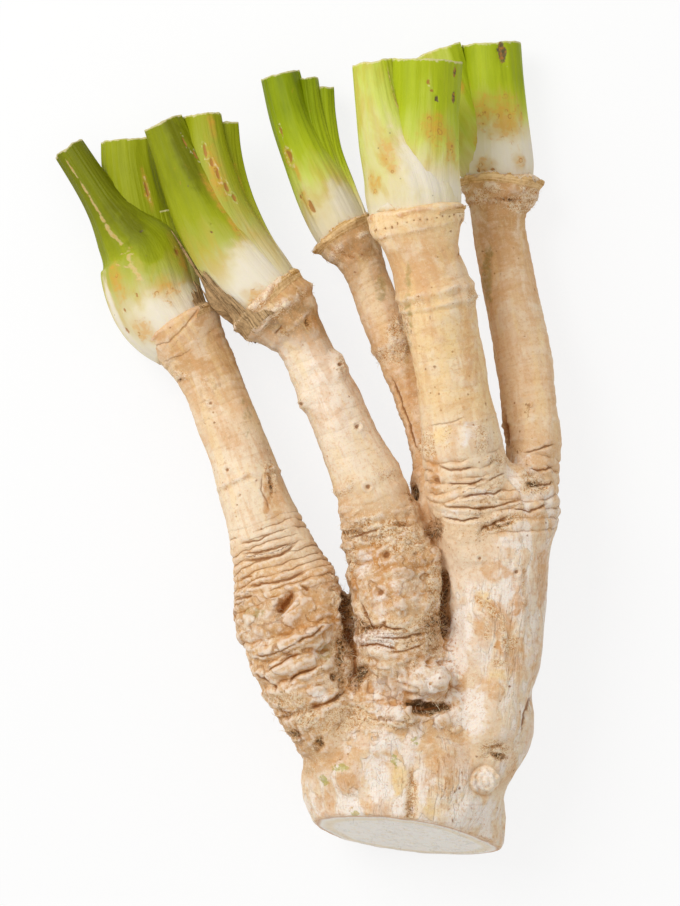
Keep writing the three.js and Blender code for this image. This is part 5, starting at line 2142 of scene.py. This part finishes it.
        "crown5", "left_stalk", -32,
        ((57.4, 79, 14.2, 9, 8, 2), (54.6, 86, 13.6, 9.4, 8.4, 2), (49, 96, 13.2, 8.8, 7.4, 2.4),
         (43.2, 107, 13, 8.4, 6.6, 2.6), (38.8, 120.4, 12.8, 8.6, 5.8, 2.6)),
        ((0, 0.04), (0.25, 0.3), (0.5, 0.5), (1, 0.5)),
        {Tint.BLUSH: ((0.72, 0.3, 3, 2), (0.3, 0, 5, 2)), Tint.SCAR: ((0.78, 0.3, 1.2, 0.8),)},
    ),
    Stalk(
        "crown5", "back_stalk", 176,
        ((58, 79, 14.2, 10.4, 9.2, 1), (57, 86, 13.2, 10.8, 10, 1), (54.6, 96, 12.2, 9.4, 9.2, 2),
         (52.4, 107, 11.6, 7.6, 7.4, 2), (51, 119.5, 11.2, 6.4, 5.8, 2)),
        ((0, 0), (0.25, 0.1), (0.5, 0.4), (1, 0.7)),
    ),
)


# --- Fibres and scales ----------------------------------------------------------------------------


@dataclass(frozen=True)
class Fibres:
    """Short curled fibres that stand on the root: three-sided tubes that thin towards the tip."""

    name: str
    count: int
    shortest: float
    longest: float
    radius: float
    lift: float
    curl: float
    seed: int
    rings: int = 5

    def build(self, feet: Array, outward: Array, material: Material) -> Piece:
        """Grows the fibres, each from its own foot.

        A fibre sets off along the surface and a little outwards. At each step its heading turns by a
        random turn of its own, so it curls.

        Args:
            feet: Places that the fibres can start from.
            outward: The surface's directions there.
            material: Their material.

        Returns:
            The finished piece.
        """
        rng = np.random.default_rng(self.seed)
        pick = rng.choice(len(feet), self.count)
        normal = outward[pick]
        along = np.cross(normal, rng.normal(size=(self.count, 3)))
        along /= np.linalg.norm(along, axis=1, keepdims=True)
        heading = along + self.lift * rng.uniform(0.2, 1.0, (self.count, 1)) * normal
        spin = rng.normal(size=(self.count, 3)) * self.curl
        step = rng.uniform(self.shortest, self.longest, (self.count, 1)) / (self.rings - 1)
        here, path = feet[pick] - 0.2 * normal, []
        for _ in range(self.rings):
            path.append(here)
            heading /= np.linalg.norm(heading, axis=1, keepdims=True)
            here = here + heading * step
            heading = heading + np.cross(spin, heading) + 0.18 * self.curl * rng.normal(size=heading.shape)
        path = np.stack(path, axis=1)
        tangent = np.gradient(path, axis=1)
        one = np.cross(tangent, normal[:, None])
        one /= np.linalg.norm(one, axis=2, keepdims=True).clip(1e-6)
        two = np.cross(one, tangent)
        two /= np.linalg.norm(two, axis=2, keepdims=True).clip(1e-6)
        turn = np.arange(3) * 2 * math.pi / 3
        size = self.radius * rng.uniform(0.6, 1.2, (self.count, 1, 1, 1))
        size = size * np.linspace(1.0, 0.35, self.rings)[None, :, None, None]
        ring = one[:, :, None] * np.cos(turn)[:, None] + two[:, :, None] * np.sin(turn)[:, None]
        points = (path[:, :, None] + size * ring).reshape(-1, 3)
        first = np.arange(self.count) * self.rings * 3
        sides = np.concatenate([tube_faces(self.rings, 3, start) for start in first])
        last = first + (self.rings - 1) * 3
        tips = np.concatenate([first[:, None] + (2, 1, 0), last[:, None] + (0, 1, 2)])
        piece = new_mesh(self.name, above_floor(points), sides.tolist() + tips.tolist())
        set_field(piece.data, "shade", np.repeat(rng.uniform(0, 1, self.count), self.rings * 3))
        set_field(piece.data, "grain", points)
        show_as(piece, material, "root_skin")
        return piece


@dataclass(frozen=True)
class Scale:
    """A papery remnant of an old leaf base that hugs a crown, with a ragged upper edge.

    It spans some angles round its limb, 0 being its right side and 90 its top, and reaches from a place
    below the collar to a height above it. Its strands run round the collar, or along the limb where it is
    withered.
    """

    limb: str
    y: float
    from_angle: float
    to_angle: float
    below: float
    above: float
    seed: int
    ragged: float = 0.6
    withered: bool = False
    flare: float = 0.3
    lift: float = 0.3
    rows: int = 18
    step_angle: float = 1.6
    thickness: float = 0.18
    collar_radius: float = 12.0

    def build(self, bodies: list[BVHTree], material: Material) -> Piece:
        """Lays the scale over the root and stalks.

        A ray runs from outside to the limb's line at each angle and height, and the scale lies where it
        meets a body. The outer face goes up and the inner face comes back down a thickness below it.

        Args:
            bodies: The root and the stalks of the limb's own crown.
            material: The scale's material.

        Returns:
            The finished piece.
        """
        limb = next(limb for limb in LIMBS if limb.name == self.limb)
        path, radius, tangent, side, outward, run = limb.samples()
        at = limb.run_at(self.y)
        ways = (side, path, tangent, outward)
        axis, middle, ahead, out = (np.array([np.interp(at, run, part) for part in way.T]) for way in ways)
        columns = max(int(abs(self.to_angle - self.from_angle) / self.step_angle), 6)
        angle = np.radians(np.linspace(self.from_angle, self.to_angle, columns))
        ring = self.collar_radius * np.stack([np.cos(angle), np.sin(angle), 0 * angle], axis=1)
        tooth = layered(ring, 5.0, 4, self.seed) + 0.6 * layered(ring, 1.2, 2, self.seed + 1)
        ends = np.sin(np.linspace(0, math.pi, columns)) ** 0.5
        reach = self.above * np.clip(1 + self.ragged * 1.6 * tooth, 0.08, 1.6) * ends
        reach = reach - self.below * (1 - ends)
        up = np.linspace(0, 1, self.rows)[:, None]
        height = -self.below + up * (reach + self.below + 0.05)
        radial = axis * np.cos(angle)[:, None] + out * np.sin(angle)[:, None]
        base = middle + height[..., None] * ahead
        start = 1.35 * float(np.interp(at, run, radius)) + 0.05 * self.above
        gap = relax_grid(self.surface(bodies, base, radial, start), 4)
        gap += self.lift * up**0.7 + self.flare * up**2
        places = (base + gap[..., None] * radial).reshape(-1, 3)
        gap += (0.5 * layered(places, 2.2, 3, self.seed + 2)).reshape(gap.shape) * (0.3 + 0.7 * up)
        gap -= 1.1 * ease(0.22, 0.0, up)
        outer = base + gap[..., None] * radial
        inner = base + (gap - self.thickness)[..., None] * radial
        points = np.concatenate([outer, inner[::-1]]).transpose(1, 0, 2).reshape(-1, 3)
        sides = 2 * self.rows
        faces = tube_faces(columns, sides).tolist()
        faces += [list(range(sides))[::-1], list(range((columns - 1) * sides, columns * sides))]
        piece = new_mesh(f"{self.limb}_scale_{self.seed}", above_floor(points), faces)
        set_field(piece.data, "shade", 0.4 + 0.3 * layered(points, 4.0, 3, self.seed + 3))
        along = np.concatenate([height, height[::-1]]).T
        arc = np.broadcast_to(self.collar_radius * angle[:, None], along.shape)
        grain = (arc, 0 * arc, along) if self.withered else (along, 0 * arc, arc)
        set_field(piece.data, "grain", np.stack(grain, axis=-1).reshape(-1, 3))
        show_as(piece, material, "root_skin")
        return piece

    def surface(self, bodies: list[BVHTree], base: Array, radial: Array, start: float) -> Array:
        """Measures how far the bodies' surface stands from the limb's line, by rays from outside.

        Args:
            bodies: The root and stalks.
            base: Points on the line or above it, row by row.
            radial: Each column's outward way.
            start: How far out the rays start.

        Returns:
            The distances; a ray that meets nothing gives the middle one of the others.
        """
        gaps = np.full(base.shape[:2], np.nan)
        for row, column in np.ndindex(*gaps.shape):
            place = Vector((base[row, column] + start * radial[column]) * MM)
            hits = [body.ray_cast(place, Vector(-radial[column]), start * MM)[3] for body in bodies]
            depths = [depth for depth in hits if depth is not None]
            if depths:
                gaps[row, column] = start - min(depths) / MM
        known = np.nanmedian(gaps)
        return np.where(np.isnan(gaps), known, np.clip(gaps, 0.5 * known, 1.25 * known))


def relax_grid(grid: Array, rounds: int) -> Array:
    """Averages each number of a grid with its four neighbours; past an edge stands the edge's own.

    Args:
        grid: The numbers.
        rounds: Times that it is done.

    Returns:
        The averaged numbers.
    """
    for _ in range(rounds):
        wide = np.pad(grid, 1, mode="edge")
        around = wide[:-2, 1:-1] + wide[2:, 1:-1] + wide[1:-1, :-2] + wide[1:-1, 2:]
        grid = 0.5 * grid + 0.125 * around
    return grid


# Scales: limb, y, first and last angle, reach below and above, seed, raggedness and if it is withered.
SCALES = [Scale(*row) for row in (
    ("neck_2", 42, 95, 205, 2.0, 3.5, 201, 0.9, True), ("neck_2", 42, 118, 205, 3.0, 11, 202, 0.9, True),
    ("neck_2", 42, 128, 206, 3.0, 27, 203, 0.6, True), ("neck_2", 44, -60, 90, 1.6, 2.2, 204, 0.9),
    ("neck_3", 65, -40, 215, 1.4, 1.8, 205, 1.0), ("neck_5", 80, -50, 230, 1.4, 1.8, 206, 1.0),
    ("neck_4", 69, -60, 60, 1.0, 1.2, 207, 1.0), ("neck_1", 36, -70, 60, 1.2, 1.6, 209, 1.0),
    ("neck_1", 37, -25, 50, 1.5, 8, 210, 0.7, True),
)]


@dataclass
class Dress:
    """The loose matter on the root: papery scales and fibres."""

    def build(self, root: Piece, stalks: list[Piece]) -> None:
        """Lays the scales and grows the fibres.

        Args:
            root: The finished root.
            stalks: The finished leaf stalks.
        """
        fresh = DryFibre("papery_scale", "#f0cd98", "#b8863f").build()
        withered = DryFibre("withered_sheath", "#c9a678", "#5c4426").build()
        trees = {"root": self.rays([root])}
        for number in "12345":
            crown = [stalk for stalk in stalks if stalk.name.startswith(f"crown{number}")]
            trees[f"neck_{number}"] = self.rays(crown)
        for scale in SCALES:
            scale.build([trees["root"], trees[scale.limb]], withered if scale.withered else fresh)
        straw = DryFibre("root_fibre", "#fff0cf", "#d2a05a").build()
        places, normals = vertex_places(root.data), vertex_normals(root.data)
        fuzz, soil_and_shade = (get_field(root.data, name) for name in ("fuzz", "soil_and_shade"))
        rng = np.random.default_rng(SEED)
        fuzzy = np.flatnonzero((fuzz > 0.25) & (rng.random(len(fuzz)) < fuzz**1.5))
        cleft = np.flatnonzero(soil_and_shade > 0.5)
        collar = np.flatnonzero((fuzz > 0.4) & (places[:, 1] > 30))
        for kind, feet in (
            (Fibres("short_fibres", 3200, 0.8, 2.6, 0.08, 0.3, 0.6, SEED + 1), fuzzy),
            (Fibres("cleft_fibres", 700, 1.4, 4.5, 0.09, 0.7, 0.5, SEED + 2), cleft),
            (Fibres("collar_fibres", 400, 0.8, 2.4, 0.08, 0.5, 0.5, SEED + 3), collar),
        ):
            kind.build(places[feet], normals[feet], straw)

    def rays(self, pieces: list[Piece]) -> BVHTree:
        """Puts several pieces' faces in one tree for rays.

        Args:
            pieces: The pieces.

        Returns:
            The tree.
        """
        points, faces = [], []
        for mesh in (piece.data for piece in pieces):
            corners = read(mesh.loops, "vertex_index", 1, np.int32) + len(points)
            points += read(mesh.vertices, "co", 3).tolist()
            starts = read(mesh.polygons, "loop_start", 1, np.int32)
            faces += [face.tolist() for face in np.split(corners, starts[1:])]
        return BVHTree.FromPolygons(points, faces)


# --- Stage ----------------------------------------------------------------------------------------


@dataclass(frozen=True)
class Studio:
    """A pale floor, a soft key light from the upper left, even fill and a camera that looks down."""

    view_centre: tuple[float, float] = (9.76, -0.96)
    view_height: float = 1225.0
    focus_height: float = 25.0
    mm_upright: float = 271.8
    key_place: tuple[float, float, float] = (-0.5, 0.42, 0.78)
    key_size: float = 0.6
    key_watts: float = 5.6
    fill: float = 0.62
    floor_reach: float = 1500.0
    floor_drop: float = 0.3
    floor_glow: float = 0.82

    def build(self) -> None:
        """Builds the floor, lights, world and camera."""
        self.floor()
        self.lights()
        self.camera()

    def floor(self) -> None:
        """Lays the floor. Rays from the camera see most of it as white, and the rest keeps the shadow."""
        reach, drop = self.floor_reach, -self.floor_drop
        corners = [(-reach, -reach, drop), (reach, -reach, drop), (reach, reach, drop), (-reach, reach, drop)]
        floor = new_mesh("floor", np.array(corners), [[0, 1, 2, 3]])
        coat = Finish("floor_white")
        coat.shader.inputs["Base Color"].default_value = linear("#f6f5f3")
        coat.shader.inputs["Roughness"].default_value = 0.9
        seen = coat.add("LightPath", output="Is Camera Ray")
        glow = coat.add("Emission", {"Color": (1, 1, 1, 1), "Strength": 1.0})
        inputs = {0: coat.times(seen, self.floor_glow), 1: coat.shader.outputs[0], 2: glow}
        mix = coat.add("MixShader", inputs)
        coat.tree.links.new(mix, coat.tree.nodes["Material Output"].inputs["Surface"])
        floor.data.materials.append(coat.material)

    def lights(self) -> None:
        """Sets the key light and the even white world, which shows as plain white."""
        data = bpy.data.lights.new("key", "AREA")
        data.shape, data.size, data.energy = "DISK", self.key_size, self.key_watts
        key = add_object("key", data)
        key.location = self.key_place
        key.rotation_euler = (-Vector(self.key_place)).to_track_quat("-Z", "Y").to_euler()
        world = bpy.data.worlds.new("studio")
        world.use_nodes = True
        tree = world.node_tree
        rays = add_node(tree, "ShaderNodeLightPath").outputs["Is Camera Ray"]
        inputs = {"Value": rays, "To Min": self.fill, "To Max": 1.0}
        level = add_node(tree, "ShaderNodeMapRange", inputs).outputs[0]
        tree.nodes["Background"].inputs["Color"].default_value = (1, 1, 1, 1)
        tree.links.new(level, tree.nodes["Background"].inputs["Strength"])
        bpy.context.scene.world = world

    def camera(self) -> None:
        """Hangs the camera over the root, with +Y up in the picture."""
        data = bpy.data.cameras.new("camera")
        data.sensor_width = 36.0
        data.lens = data.sensor_width * (self.view_height - self.focus_height) / self.mm_upright
        camera = add_object("camera", data)
        camera.location = (self.view_centre[0] * MM, self.view_centre[1] * MM, self.view_height * MM)
        bpy.context.scene.camera = camera


def main() -> None:
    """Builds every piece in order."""
    logging.basicConfig(level=logging.INFO, format="%(name)s: %(message)s")
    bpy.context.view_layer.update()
    root = Root().build(RootSkin().build())
    skin = StalkSkin().build()
    maker = StalkMaker()
    stalks = [maker.build(stalk, skin) for stalk in STALKS]
    Dress().build(root, stalks)
    Studio().build()
    bpy.context.scene.view_settings.view_transform = "Standard"


if __name__ == "__main__":
    main()
